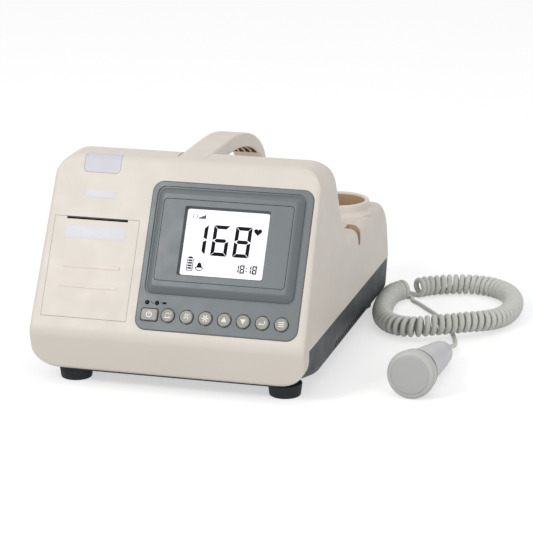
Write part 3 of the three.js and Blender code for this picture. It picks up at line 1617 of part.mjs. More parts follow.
probeTurntable.updateMatrixWorld(true);
const probeExit = new THREE.Vector3(0, 0, probeReliefEnd + gap).applyMatrix4(probeRelief.matrixWorld);
const probeExitFurther = new THREE.Vector3(0, 0, probeReliefEnd + gap + 2 * wireRadius)
  .applyMatrix4(probeRelief.matrixWorld);
const probeLead = [
  wire.start.clone().addScaledVector(wire.startWay, -gap),
  wire.start.clone().addScaledVector(wire.startWay, -gap - 2 * wireRadius),
  ...toPoints(probeLeadRoute),
  probeExitFurther,
  probeExit,
];
piece('probe_lead', tube(probeLead, wireRadius, leadSides, 26), cordPlastic);

const plugFrame = rearFrame(probeSocketX);
const plugExit = new THREE.Vector3(0, 0, reliefEnd + gap).applyMatrix4(plugFrame);
const plugExitFurther = new THREE.Vector3(0, 0, reliefEnd + gap + 2 * wireRadius).applyMatrix4(plugFrame);
const deviceLead = [
  plugExit,
  plugExitFurther,
  ...toPoints(deviceLeadRoute),
  wire.end.clone().addScaledVector(wire.endWay, gap + 2 * wireRadius),
  wire.end.clone().addScaledVector(wire.endWay, gap),
];
piece('device_lead', tube(deviceLead, wireRadius, leadSides, 36), cordPlastic);

// Origin: under the middle of the case and probe, on the floor
const cordNames = ['cord_coil', 'probe_lead', 'device_lead', 'probe_plug', 'plug_strain_relief'];
assembly.updateMatrixWorld(true);
const box = new THREE.Box3();
assembly.traverse((node) => {
  if (node.isMesh && !cordNames.includes(node.name)) box.expandByObject(node, true);
});
const middle = box.getCenter(new THREE.Vector3());
assembly.position.set(-middle.x, -middle.y, -box.min.z);

export default doppler;
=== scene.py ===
# %% [markdown]
# # A desktop fetal doppler
# The real object is a sloped plastic case with a strip printer, a display, a row of push keys,
# a carrying handle and a cup, and a hand probe lies beside it on a long curly cord.
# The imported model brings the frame: every solid, its place and how it moves. This lesson gives
# each visible piece its fine shape and its finish, one after the other.

import math

import bmesh
import bpy
import numpy as np
from mathutils import Matrix, Vector


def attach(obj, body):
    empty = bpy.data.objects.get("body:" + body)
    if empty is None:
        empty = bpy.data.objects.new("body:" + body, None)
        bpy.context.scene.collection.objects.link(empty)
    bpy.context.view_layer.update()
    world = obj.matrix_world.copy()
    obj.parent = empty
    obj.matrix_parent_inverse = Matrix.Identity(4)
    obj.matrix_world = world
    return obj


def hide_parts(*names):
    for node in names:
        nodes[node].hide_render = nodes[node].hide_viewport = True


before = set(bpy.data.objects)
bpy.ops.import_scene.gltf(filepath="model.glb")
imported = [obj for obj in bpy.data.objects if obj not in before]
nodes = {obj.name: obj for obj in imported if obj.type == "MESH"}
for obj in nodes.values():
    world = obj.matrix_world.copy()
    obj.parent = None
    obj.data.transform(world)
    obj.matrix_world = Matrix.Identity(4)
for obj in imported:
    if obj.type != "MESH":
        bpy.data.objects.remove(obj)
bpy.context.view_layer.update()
print("solids in the packed model:", len(nodes))


def link(thing):
    bpy.context.scene.collection.objects.link(thing)


# %% [markdown]
# ## The camera
# The photograph was taken from a little to the right and above, from far away, so the picture
# shows hardly any perspective. A long lens at two metres gives the same lines.

# %% Camera
image_side = 533
sensor_width = 36
focal_pixels = 2352.35
view_azimuth = math.radians(15.34)
view_elevation = math.radians(16.03)
view_distance = 2.00045
view_target = Vector((0.03867, -0.16497, 0.12304))

camera_data = bpy.data.cameras.new("camera")
camera_data.sensor_width = sensor_width
camera_data.lens = focal_pixels * sensor_width / image_side
camera_data.clip_start = 0.05
camera_data.clip_end = 50
camera = bpy.data.objects.new("camera", camera_data)
link(camera)
toward_camera = Vector((
    math.sin(view_azimuth) * math.cos(view_elevation),
    -math.cos(view_azimuth) * math.cos(view_elevation),
    math.sin(view_elevation),
))
camera.location = view_target + toward_camera * view_distance
camera.rotation_mode = "QUATERNION"
camera.rotation_quaternion = (-toward_camera).to_track_quat("-Z", "Y")
bpy.context.scene.camera = camera
print("lens:", round(camera_data.lens, 1), "mm")

# %% [markdown]
# ## Frames to build in
# The case was drawn from the middle of its front, in millimetres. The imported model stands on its
# own origin, in metres. One matrix takes the case's drawing to the model, and a second one
# takes a drawing on the leaning face there: x to the right, v up the face, n out of it. A third
# one is for outlines seen from the side, raised across the case's width.

# %% Frames
MM = 0.001
case_origin = Vector((-0.050262, -0.164969, 0))
face_lean = math.radians(28.7)
face_datum_height = 62.7
case_frame = Matrix.Translation(case_origin) @ Matrix.Scale(MM, 4)
face_frame = (
    case_frame
    @ Matrix.Translation((0, 0, face_datum_height))
    @ Matrix.Rotation(math.pi / 2 - face_lean, 4, "X")
)
across_frame = Matrix(((0, 0, 1, 0), (1, 0, 0, 0), (0, 1, 0, 0), (0, 0, 0, 1)))
side_frame = case_frame @ across_frame
print("face datum:", [round(v, 4) for v in face_frame.translation])

# %% [markdown]
# ## The cord's route
# The cord is one wire. It leaves the probe, runs under the curls, winds round and round its
# route on the table, and goes to the plug behind the case. The points are listed, and
# a smooth curve is laid through them: through each four points goes one piece of the curve.

# %% A smooth curve through points
def smooth_through(points, per_span):
    """Centripetal Catmull-Rom curve through points, per_span samples for each stretch."""
    points = [np.array(p, float) for p in points]
    ends = [2 * points[0] - points[1], *points, 2 * points[-1] - points[-2]]
    found = []
    for a, b, c, d in zip(ends, ends[1:], ends[2:], ends[3:]):
        knots = [0.0]
        for start, stop in ((a, b), (b, c), (c, d)):
            knots.append(knots[-1] + np.linalg.norm(stop - start) ** 0.5)
        k0, k1, k2, k3 = knots
        for step in range(per_span):
            t = k1 + (k2 - k1) * step / per_span
            ab = a * (k1 - t) / (k1 - k0) + b * (t - k0) / (k1 - k0)
            bc = b * (k2 - t) / (k2 - k1) + c * (t - k1) / (k2 - k1)
            cd = c * (k3 - t) / (k3 - k2) + d * (t - k2) / (k3 - k2)
            abc = ab * (k2 - t) / (k2 - k0) + bc * (t - k0) / (k2 - k0)
            bcd = bc * (k3 - t) / (k3 - k1) + cd * (t - k1) / (k3 - k1)
            found.append(abc * (k2 - t) / (k2 - k1) + bcd * (t - k1) / (k2 - k1))
    found.append(points[-1])
    return np.array(found)


def lengths_along(line):
    return np.concatenate([[0], np.cumsum(np.linalg.norm(np.diff(line, axis=0), axis=1))])


# %% [markdown]
# ## Winding the curls
# A curl is a point that turns round the route while it moves along it. The route rises in a
# low hump where the curls cross the lead that runs below them. The route's two end points come
# close together, because the real curls nearly close a ring.

# %% Curls
wire_diameter = 0.0042
curl_wire_share = 1.24
cad_wire_radius = 0.002
curl_radius = 0.0074
curl_count = 68
steps_per_curl = 24
curl_height = 0.0101
crossing_height = 0.0144
crossing_place = (0.2085, 0.2245)
crossing_reach = 0.085
hump_growth_share = 1.12
route_samples = 60
curl_route = [
    (0.1383, 0.3380), (0.137, 0.3355), (0.131, 0.322), (0.1293, 0.300), (0.131, 0.275),
    (0.1355, 0.250), (0.1445, 0.228), (0.158, 0.2135), (0.174, 0.209), (0.191, 0.214),
    (0.2075, 0.2235), (0.222, 0.233), (0.235, 0.244), (0.245, 0.260), (0.2505, 0.281),
    (0.2515, 0.307), (0.247, 0.332), (0.237, 0.353), (0.222, 0.366), (0.204, 0.371),
    (0.186, 0.3685), (0.170, 0.3615), (0.156, 0.352), (0.1500, 0.3445),
]


def route_height(x, y):
    near = max(0, 1 - math.dist((x, y), crossing_place) / crossing_reach)
    hump = near * near * (3 - 2 * near)
    return curl_height + (crossing_height - curl_height) * min(1, hump_growth_share * hump)


def wind_curls():
    middle = smooth_through([(x, y, route_height(x, y)) for x, y in curl_route], route_samples)
    along_all = lengths_along(middle)
    shares = np.linspace(0, along_all[-1], curl_count * steps_per_curl + 1)
    centres = np.stack([np.interp(shares, along_all, middle[:, k]) for k in range(3)], axis=1)
    ways = np.gradient(centres, axis=0)
    ways /= np.linalg.norm(ways, axis=1)[:, None]
    sides = np.cross(ways, (0, 0, 1))
    sides /= np.linalg.norm(sides, axis=1)[:, None]
    ups = np.cross(sides, ways)
    angles = -math.pi / 2 + 2 * math.pi * np.arange(len(centres)) / steps_per_curl
    radial = sides * np.cos(angles)[:, None] + ups * np.sin(angles)[:, None]
    return centres + curl_radius * radial


curls = wind_curls()
print("wire in the curls:", round(float(lengths_along(curls)[-1]), 3), "m")

# %% [markdown]
# ## The two leads
# Each lead leaves the curls level, lies on the table, and rises only to meet its strain relief.

# %% Leads
lead_samples = 8
probe_lead_route = [
    (0.149, 0.327, 0.0021), (0.157, 0.318, 0.0021), (0.168, 0.303, 0.0021),
    (0.180, 0.287, 0.0021), (0.191, 0.269, 0.0021), (0.200, 0.250, 0.0021),
    (0.2075, 0.231, 0.0021), (0.2125, 0.215, 0.0021), (0.2158, 0.2009, 0.0024),
    (0.217, 0.189, 0.0045),
]
device_lead_route = [
    (0.080, 0.390, 0.0804), (0.081, 0.401, 0.074), (0.083, 0.408, 0.057),
    (0.086, 0.411, 0.034), (0.091, 0.409, 0.013), (0.097, 0.401, 0.0032),
    (0.102, 0.388, 0.0021), (0.107, 0.371, 0.0021), (0.1137, 0.352, 0.0021),
    (0.121, 0.354, 0.0021), (0.131, 0.360, 0.0021),
]
probe_place = (206, 42)
probe_turn = math.radians(-4.16)
head_rest = (16, 20.5)
tail_rest = (105, 11)
probe_tilt = math.atan((head_rest[1] - tail_rest[1]) / (tail_rest[0] - head_rest[0]))
probe_lift = 22.1324
probe_frame = (
    case_frame
    @ Matrix.Translation((*probe_place, probe_lift))
    @ Matrix.Rotation(probe_turn, 4, "Z")
    @ Matrix.Rotation(-math.pi / 2 - probe_tilt, 4, "X")
)
rear_lean = math.radians(6.7)
socket_x = 80
socket_height = 74
rear_depth = 331.35


def rear_frame(x):
    lean = Matrix((
        (-1, 0, 0, x),
        (0, -math.sin(rear_lean), math.cos(rear_lean), rear_depth),
        (0, math.cos(rear_lean), math.sin(rear_lean), socket_height),
        (0, 0, 0, 1),
    ))
    return case_frame @ lean


plug_frame = rear_frame(socket_x)
probe_relief_end = 125.3
plug_relief_end = 46.9
straight_run = 4


def in_case(points):
    return [case_origin + Vector(p) for p in points]


def level_end(point, neighbour, reach):
    """A point straight on from the curls' end, on the level."""
    way = Vector(point) - Vector(neighbour)
    way.z = 0
    return Vector(point) + way.normalized() * reach


curls_placed = in_case(curls)
probe_side = [
    probe_frame @ Vector((0, 0, probe_relief_end)),
    probe_frame @ Vector((0, 0, probe_relief_end + straight_run)),
    *in_case(reversed(probe_lead_route)),
    level_end(curls_placed[0], curls_placed[1], 4 * cad_wire_radius),
    level_end(curls_placed[0], curls_placed[1], 2 * cad_wire_radius),
]
plug_side = [
    level_end(curls_placed[-1], curls_placed[-2], 2 * cad_wire_radius),
    level_end(curls_placed[-1], curls_placed[-2], 4 * cad_wire_radius),
    *in_case(reversed(device_lead_route)),
    plug_frame @ Vector((0, 0, plug_relief_end + straight_run)),
    plug_frame @ Vector((0, 0, plug_relief_end)),
]
cord_line = np.concatenate([
    smooth_through(probe_side, lead_samples),
    np.array([list(p) for p in curls_placed]),
    smooth_through(plug_side, lead_samples),
])

# %% [markdown]
# ## Moulded plastic
# Nearly everything here is moulded plastic. It has one colour, a fine grain from the mould, and
# a slight unevenness in tone and gloss. Noise on Object coordinates gives the three of them at
# their real sizes, so the same recipe serves every plastic, rubber and metal on the object.

# %% The recipe for a finish
tone_scale = 14
gloss_scale = 60


def linear(value):
    share = value / 255
    return share / 12.92 if share <= 0.04045 else ((share + 0.055) / 1.055) ** 2.4


def colour_of(rgb, factor=1.0):
    return (*(min(1.0, linear(v) * factor) for v in rgb), 1.0)


def noise_node(tree, points, scale, detail=2.0):
    node = tree.nodes.new("ShaderNodeTexNoise")
    node.inputs["Scale"].default_value = scale
    node.inputs["Detail"].default_value = detail
    tree.links.new(points, node.inputs["Vector"])
    return node.outputs["Fac"]


def spread_node(tree, source, low, high):
    node = tree.nodes.new("ShaderNodeMapRange")
    node.inputs["From Min"].default_value = 0.3
    node.inputs["From Max"].default_value = 0.7
    node.inputs["To Min"].default_value = low
    node.inputs["To Max"].default_value = high
    tree.links.new(source, node.inputs["Value"])
    return node.outputs["Result"]


def mix_node(tree, share, first, second):
    node = tree.nodes.new("ShaderNodeMix")
    node.data_type = "RGBA"
    tree.links.new(share, node.inputs["Factor"])
    for socket, colour in (("A", first), ("B", second)):
        target = next(i for i in node.inputs if i.name == socket and i.type == "RGBA")
        if isinstance(colour, tuple):
            target.default_value = colour
        else:
            tree.links.new(colour, target)
    return next(o for o in node.outputs if o.type == "RGBA")


def make_finish(name, rgb, roughness, tone=0.02, grain=900, depth=0.00002, gloss=0.06, **sockets):
    finish = bpy.data.materials.new(name)
    finish.use_nodes = True
    tree = finish.node_tree
    shader = tree.nodes["Principled BSDF"]
    points = tree.nodes.new("ShaderNodeTexCoord").outputs["Object"]
    broad = spread_node(tree, noise_node(tree, points, tone_scale), 0, 1)
    colour = mix_node(tree, broad, colour_of(rgb, 1 - tone), colour_of(rgb, 1 + tone))
    tree.links.new(colour, shader.inputs["Base Color"])
    uneven = noise_node(tree, points, gloss_scale)
    patchy = spread_node(tree, uneven, roughness - gloss, roughness + gloss)
    tree.links.new(patchy, shader.inputs["Roughness"])
    bump = tree.nodes.new("ShaderNodeBump")
    bump.inputs["Distance"].default_value = depth
    tree.links.new(noise_node(tree, points, grain, 3.0), bump.inputs["Height"])
    tree.links.new(bump.outputs["Normal"], shader.inputs["Normal"])
    for socket, value in sockets.items():
        shader.inputs[socket.replace("_", " ")].default_value = value
    return finish


cream = make_finish("case_cream_plastic", (229, 221, 211), 0.48)
# A deeper tan copy of the cream, given to the cup's inside, the handle's pockets and the hook slot: painted
# shade.
painted_shade_cream = make_finish("case_cream_painted_shade", (192, 162, 130), 0.55)
cord_grey = make_finish("cord_grey_vinyl", (220, 221, 215), 0.42, tone=0.03)
print("finishes so far:", cream.name, cord_grey.name)

# %% [markdown]
# ## The cord as a curve
# A curve with a round bevel is the natural form of a wire: its own line is the wire's middle.

# %% The cord
def make_cord(line, diameter, thickness):
    data = bpy.data.curves.new("curly_cord", "CURVE")
    data.dimensions = "3D"
    data.bevel_depth = diameter / 2
    data.bevel_resolution = 3
    data.use_fill_caps = True
    spline = data.splines.new("POLY")
    spline.points.add(len(line) - 1)
    for point, place, share in zip(spline.points, line, thickness):
        point.co = (*place, 1)
        point.radius = share
    spline.use_smooth = True
    data.materials.append(cord_grey)
    cord = bpy.data.objects.new("curly_cord", data)
    link(cord)
    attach(cord, "root")
    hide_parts("cord_coil", "probe_lead", "device_lead")
    return cord


first_curl = (len(probe_side) - 1) * lead_samples + 1
thickness = np.ones(len(cord_line))
thickness[first_curl:first_curl + len(curls_placed)] = curl_wire_share
padded = np.pad(thickness, steps_per_curl, "edge")
even = np.ones(steps_per_curl) / steps_per_curl
thickness = np.convolve(padded, even, "same")[steps_per_curl:-steps_per_curl]
curly_cord = make_cord(cord_line, wire_diameter, thickness)
print("cord points:", len(curly_cord.data.splines[0].points))

# %% [markdown]
# ## Shapes from operators
# The next helpers start a bmesh from a simple shape and hand it on: a box, a rod, a profile
# that is spun round an axis, and a plate whose corners and upper rim are rounded.

# %% Shape helpers
tiny = 1e-4


def moved(bm, x, y):
    """Shifts a bmesh in its own plane."""
    bmesh.ops.translate(bm, vec=(x, y, 0), verts=bm.verts)
    return bm


def make_box(x, y, z):
    bm = bmesh.new()
    bmesh.ops.create_cube(bm, size=1)
    middle = Vector([(low + high) / 2 for low, high in (x, y, z)])
    size = [high - low for low, high in (x, y, z)]
    bmesh.ops.scale(bm, vec=size, verts=bm.verts)
    bmesh.ops.translate(bm, vec=middle, verts=bm.verts)
    return bm


def make_rod(radius, low, high, sides=48):
    bm = bmesh.new()
    bmesh.ops.create_cone(
        bm, cap_ends=True, segments=sides, radius1=radius, radius2=radius, depth=high - low
    )
    bmesh.ops.translate(bm, vec=(0, 0, (low + high) / 2), verts=bm.verts)
    return bm


def make_spun(profile, steps=64):
    """Spins a line of (radius, height) round the z axis."""
    bm = bmesh.new()
    points = [bm.verts.new((r, 0, z)) for r, z in profile]
    for a, b in zip(points, points[1:]):
        bm.edges.new((a, b))
    bmesh.ops.spin(
        bm, geom=bm.verts[:] + bm.edges[:], axis=(0, 0, 1), cent=(0, 0, 0),
        angle=2 * math.pi, steps=steps, use_merge=True,
    )
    return bm


def round_corners(bm, places, steps=8):
    """Rounds each corner of a flat outline: places are (x, y, radius)."""
    count = len(places)
    for i, (x, y, radius) in enumerate(places):
        if not radius:
            continue
        corner = min(bm.verts, key=lambda v: (v.co - Vector((x, y, 0))).length)
        here = Vector((x, y))
        before = (Vector(places[i - 1][:2]) - here).normalized()
        after = (Vector(places[(i + 1) % count][:2]) - here).normalized()
        reach = radius / math.tan(before.angle(after) / 2)
        bmesh.ops.bevel(
            bm, geom=[corner], offset=reach, offset_type="OFFSET", segments=steps,
            profile=0.5, affect="VERTICES", material=-1,
        )


def make_plate(places, low, high, steps=8, edge=0, edge_steps=3):
    """A flat outline raised from low to high, its upper rim rounded by edge."""
    bm = bmesh.new()
    bm.faces.new([bm.verts.new((x, y, 0)) for x, y, _ in places])
    round_corners(bm, places, steps)
    bmesh.ops.translate(bm, vec=(0, 0, low), verts=bm.verts)
    raised = bmesh.ops.extrude_face_region(bm, geom=bm.faces[:], use_keep_orig=True)["geom"]
    top = [v for v in raised if isinstance(v, bmesh.types.BMVert)]
    bmesh.ops.translate(bm, vec=(0, 0, high - low), verts=top)
    if edge:
        rim = [e for e in bm.edges if all(v.co.z > high - tiny for v in e.verts)]
        bmesh.ops.bevel(
            bm, geom=rim, offset=edge, offset_type="OFFSET", segments=edge_steps,
            profile=0.5, affect="EDGES", material=-1, clamp_overlap=True,
        )
    return bm


def corners_of(x, y, radius):
    return [(x[0], y[0], radius), (x[1], y[0], radius), (x[1], y[1], radius), (x[0], y[1], radius)]


def about(middle, size):
    return (middle - size / 2, middle + size / 2)


def gather(*meshes):
    """Puts several bmeshes into one."""
    bm = bmesh.new()
    for part in meshes:
        mesh = bpy.data.meshes.new("part")
        part.to_mesh(mesh)
        part.free()
        bm.from_mesh(mesh)
        bpy.data.meshes.remove(mesh)
    return bm


# %% [markdown]
# ## From a bmesh to a piece
# A solid is moved to its place in the model, cut where others pass through it, and then given
# its name, its body to ride on, its finish and its soft and hard edges.

# %% Solid, carve and piece helpers
def make_solid(bm, place=case_frame):
    bmesh.ops.remove_doubles(bm, verts=bm.verts, dist=tiny)
    bmesh.ops.transform(bm, matrix=place, verts=bm.verts)
    bmesh.ops.recalc_face_normals(bm, faces=bm.faces)
    mesh = bpy.data.meshes.new("solid")
    bm.to_mesh(mesh)
    bm.free()
    solid = bpy.data.objects.new("solid", mesh)
    link(solid)
    return solid


def mark_faces(solid, chosen=lambda face: True):
    """Marks faces for a piece's second finish, which here is always a painted shade. What a marked cutter
    cuts is marked too.
    """
    for face in solid.data.polygons:
        face.material_index = int(chosen(face))
    return solid


def carve(solid, *tools, operation="DIFFERENCE"):
    for part in (solid, *tools):
        while len(part.data.materials) < 2:
            part.data.materials.append(None)
    for tool in tools:
        change = solid.modifiers.new("carve", "BOOLEAN")
        change.operation = operation
        change.solver = "EXACT"
        change.object = tool
    depsgraph = bpy.context.evaluated_depsgraph_get()
    mesh = bpy.data.meshes.new_from_object(solid.evaluated_get(depsgraph))
    solid.modifiers.clear()
    solid.data = mesh
    for tool in tools:
        bpy.data.objects.remove(tool)
    return solid


def soften(mesh, hard_angle):
    """Smooth shading, except along edges that turn by more than hard_angle."""
    bm = bmesh.new()
    bm.from_mesh(mesh)
    for face in bm.faces:
        face.smooth = True
    for edge in bm.edges:
        edge.smooth = edge.calc_face_angle(0) < hard_angle
    bm.to_mesh(mesh)
    bm.free()


def make_piece(
    solid, name, finish, body="root", stands_for=(), hard=32, flat=False, second=None
):
    solid.name = name
    solid.data.name = name
    soften(solid.data, math.radians(hard))
    marks = [face.material_index for face in solid.data.polygons]
    solid.data.materials.clear()
    solid.data.materials.append(finish)
    if second:
        solid.data.materials.append(second)
        solid.data.polygons.foreach_set("material_index", marks)
    if flat:
        even = solid.modifiers.new("even", "WEIGHTED_NORMAL")
        even.keep_sharp = True
    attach(solid, body)
    if stands_for:
        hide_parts(*stands_for)
    print(name, "faces:", len(solid.data.polygons))
    return solid


# %% [markdown]
# ## The case's form
# The case is one outline, seen from the side, carried across its width. Each stretch of the
# outline has its own rounding towards the sides: the top turns over in a large round, the face
# in a small one. So the outline is drawn in at each station by a different amount along each
# stretch, and the stations are joined by extruding the last one and moving it.

# %% Case sizes
case_x = (-127.1, 124.5)
case_middle = sum(case_x) / 2
case_half_width = (case_x[1] - case_x[0]) / 2
case_depth = 334.5
case_wall = 2.8
top_height = 193.5
deck_height = 108
parting_height = 47.2
side_lean_share = 0.0268
slope_top_depth = 112.4
slope_lean_share = 0.48
chin_crease_height = 50.9
chin_bottom_height = 15.2
chin_front_depth = 1.2
chin_back_depth = 9
chin_corner_radius = 31


def face_depth(height):
    return (height - face_datum_height) * math.tan(face_lean)


def wall_depth(height):
    return case_depth - (height - parting_height) * math.tan(rear_lean)


def slope_depth(height):
    return slope_top_depth + (top_height - height) * slope_lean_share


case_outline = [
    (chin_front_depth, chin_bottom_height, 4),
    (chin_back_depth, chin_bottom_height, 0),
    (chin_back_depth, parting_height, 0),
    (case_depth, parting_height, 0),
    (wall_depth(deck_height), deck_height, 40),
    (slope_depth(deck_height), deck_height, 24),
    (slope_top_depth, top_height, 22),
    (face_depth(top_height), top_height, 8),
    (face_depth(chin_crease_height), chin_crease_height, 16),
]
case_rims = [25, 0, 0, 14, 8, 9, 21, 4, 4]
open_stretches = {1, 2}
least_radius = 0.5
rim_shares = [0, 0.012, 0.035, 0.07, 0.12, 0.19, 0.28, 0.39, 0.52, 0.68, 0.84, 1]
print("case outline corners:", len(case_outline))

# %% Drawing an outline in, and rounding it
def drawn_in(corners, insets):
    lines = []
    for (x, y, _), (next_x, next_y, _), inset in zip(corners, corners[1:] + corners[:1], insets):
        along = Vector((next_x - x, next_y - y)).normalized()
        inward = Vector((-along.y, along.x))
        lines.append((Vector((x, y)) + inward * inset, along, inset))
    drawn = []
    for i, (_, _, radius) in enumerate(corners):
        start_a, along_a, inset_a = lines[i - 1]
        start_b, along_b, inset_b = lines[i]
        bend = along_a.cross(along_b)
        reach = (start_b - start_a).cross(along_b) / bend
        place = start_a + along_a * reach
        shrink = math.copysign(1, bend) * (inset_a + inset_b) / 2
        drawn.append((place.x, place.y, max(radius - shrink, least_radius) if radius else 0))
    return drawn


def rounded(corners, steps):
    """The outline's points, with steps stretches in each round corner."""
    points = []
    for i, (x, y, radius) in enumerate(corners):
        corner = Vector((x, y))
        if not radius:
            points.append(corner)
            continue
        before = (Vector(corners[i - 1][:2]) - corner).normalized()
        after = (Vector(corners[(i + 1) % len(corners)][:2]) - corner).normalized()
        half = before.angle(after) / 2
        centre = corner + (before + after).normalized() * (radius / math.sin(half))
        start = corner + before * (radius / math.tan(half)) - centre
        turn = math.copysign(math.pi - 2 * half, after.cross(before))
        for step in range(steps + 1):
            points.append(centre + Matrix.Rotation(turn * step / steps, 2) @ start)
    return points


def join_stations(stations):
    """Extrudes one closed loop from station to station and caps both ends."""
    bm = bmesh.new()
    ring = [bm.verts.new(p) for p in stations[0]]
    edges = [bm.edges.new(pair) for pair in zip(ring, ring[1:] + ring[:1])]
    bm.faces.new(ring)
    for station in stations[1:]:
        made = bmesh.ops.extrude_edge_only(bm, edges=edges)["geom"]
        fresh = {v for v in made if isinstance(v, bmesh.types.BMVert)}
        ring = [
            next(e.other_vert(v) for e in v.link_edges if e.other_vert(v) in fresh) for v in ring
        ]
        for vert, place in zip(ring, station):
            vert.co = place
        edges = [bm.edges.get(pair) for pair in zip(ring, ring[1:] + ring[:1])]
    bm.faces.new(ring)
    return bm


def case_form(inset):
    depths = [share * chin_corner_radius for share in rim_shares]
    places = [(d, -1) for d in depths] + [(d, 1) for d in reversed(depths)]
    stations = []
    for depth, side in places:
        insets = []
        for i, rim in enumerate(case_rims):
            radius = max(rim - inset, least_radius) if rim else 0
            left = radius - depth
            drop = radius - math.sqrt(radius**2 - left**2) if left > 0 else 0
            insets.append(inset * (-1 if i in open_stretches else 1) + drop)
        x = side * (case_half_width - inset - depth)
        points = []
        for point in rounded(drawn_in(case_outline, insets), 10):
            rise = max(point.y - parting_height, 0)
            lean = 1 - side_lean_share * rise / case_half_width
            points.append((case_middle + x * lean, point.x, point.y))
        stations.append(points)
    return join_stations(stations)


case_solid = make_solid(case_form(0))
print("case form faces:", len(case_solid.data.polygons))

# %% [markdown]
# ## The case's openings
# The real shell is a thin moulding: hollow, with holes for the door, the bezel, the lamp, the
# handle, the cup and the sockets. Each hole is cut with a solid a little larger than the piece
# that fills it, so a fine dark seam shows round every piece, as on the real one.

# %% Opening sizes
seam = 0.3
overrun = 2
handle_x = (-16.25, 11.25)
handle_front_depth = 80
handle_front_radius = 8
handle_thickness = 13.7
handle_bend_depth = 160
handle_reach = 125
handle_drop = 55
handle_leg_height = 98
handle_back_depth = handle_bend_depth + handle_reach
cup_place = (89, 258)
cup_ring_radius = 29.8
hook_outline = [
    (192.5, 112, 0), (209.5, 112, 0), (205.6, 102.5, 4), (205.4, 90.4, 3), (198.5, 90.4, 3),
    (194.5, 103, 3),
]
hook_depth = 14
hook_x = (case_x[1] - hook_depth, case_x[1] + overrun)
door_x = (-117.2, -38.7)
door_v = (0.7, 91.4)
bezel_x = (-30.1, 116.1)
bezel_v = (-5, 129)
bezel_radius = 10
lamp_x = (-97, -63.3)
lamp_bottom = 133
lamp_top = 254
lamp_radius = 4
lamp_reach = 5
inlet_x = -70
inlet_hole_size = (27.6, 21.6)
socket_hole_radius = 8.3


def wider(span, by):
    return (span[0] - by, span[1] + by)


def lamp_solid(by):
    places = [
        (lamp_x[0] - by, lamp_bottom - by, lamp_radius + by),
        (lamp_x[1] + by, lamp_bottom - by, lamp_radius + by),
        (lamp_x[1] + by, lamp_top, 0),
        (lamp_x[0] - by, lamp_top, 0),
    ]
    return make_solid(make_plate(places, -lamp_reach - by, case_wall), face_frame)


# %% The case shell
skirt_bottom = 101
skirt_curve = [(33.4, 108.2), (32.3, 108.9), (31.2, 110.2), (30.5, 111.6), (30.2, 112.8)]
skirt_profile = [(0, skirt_bottom), (skirt_curve[0][0], skirt_bottom), *skirt_curve, (0, skirt_curve[-1][1])]


def case_hollow():
    hook_y = wider((hook_outline[0][0], hook_outline[1][0]), case_wall)
    hook_z = (hook_outline[3][1] - case_wall, deck_height)
    round_hook = make_box(wider(hook_x, case_wall), hook_y, hook_z)
    return carve(make_solid(case_form(case_wall)), make_solid(round_hook))


def handle_notch():
    x = wider(handle_x, seam)
    y = (handle_front_depth - seam, handle_back_depth + seam)
    radius = handle_front_radius + seam
    outline = [(x[0], y[0], radius), (x[1], y[0], radius), (x[1], y[1], 0), (x[0], y[1], 0)]
    bar = make_plate(outline, top_height - handle_thickness - seam, top_height + overrun)
    leg_y = (handle_back_depth - handle_thickness - seam, y[1])
    leg = make_box(x, leg_y, (handle_leg_height - seam, deck_height + overrun))
    return gather(bar, leg)


def case_shell():
    cup_z = (deck_height - 3 * case_wall, deck_height + 3 * overrun)
    cup = moved(make_rod(cup_ring_radius + seam, *cup_z, 72), *cup_place)
    deep = (-case_wall - overrun, overrun)
    door = make_plate(corners_of(wider(door_x, seam), wider(door_v, seam), 0), *deep)
    bezel_hole = corners_of(wider(bezel_x, seam), wider(bezel_v, seam), bezel_radius + seam)
    bezel = make_plate(bezel_hole, *deep)
    inlet = make_box(*(about(0, size) for size in inlet_hole_size), deep)
    socket = make_rod(socket_hole_radius, *deep)
    case = carve(case_solid, case_hollow())
    skirt = make_solid(moved(make_spun(skirt_profile, 72), *cup_place))
    case = carve(case, skirt, operation="UNION")
    # The hook slot's walls take the deeper tan: painted shade.
    hook = make_solid(make_plate(hook_outline, *hook_x, steps=4), side_frame)
    return carve(
        case,
        make_solid(gather(handle_notch(), cup)),
        mark_faces(hook),
        make_solid(gather(door, bezel), face_frame),
        lamp_solid(seam),
        make_solid(inlet, rear_frame(inlet_x)),
        make_solid(socket, plug_frame),
    )


make_piece(
    case_shell(), "case_shell", cream, stands_for=["upper_shell"], hard=26, flat=True,
    second=painted_shade_cream,
)

# %% [markdown]
# ## The lamp lens
# A pale lens fills a notch in the case's top edge and keeps the case's own outline, so it is
# the same form, kept only where the notch is, and hollowed.

# %% Lamp lens
lens_pale = make_finish("lamp_lens_pale", (216, 214, 222), 0.5, tone=0.01, grain=300)
lens_wall = 2
lens_solid = carve(make_solid(case_form(0)), lamp_solid(0), operation="INTERSECT")
lens_solid = carve(lens_solid, make_solid(case_form(lens_wall)))
make_piece(
    lens_solid, "lamp_lens", lens_pale, stands_for=["alarm_lamp_lens"], flat=True
)

# %% [markdown]
# ## The carrying handle
# The handle is a flat bar. It lies flush in the top of the case, leaves it, and bends down to
# the rear deck. Its side outline is extruded across its width, its front end is rounded in
# plan, and its long edges get a small round. Pockets below keep the moulding light.

# %% Carrying handle
handle_edge = 2
pocket_count = 4
pocket_rib = 1.5
pocket_depth = 7.5
pocket_front_depth = 132
pocket_end_angle = math.pi / 3


def handle_line(offset, start_depth, end_angle, steps):
    line = [(start_depth, top_height - offset)]
    for i in range(steps + 1):
        angle = end_angle * i / steps
        line.append((
            handle_bend_depth + (handle_reach - offset) * math.sin(angle),
            top_height - handle_drop + (handle_drop - offset) * math.cos(angle),
        ))
    return line


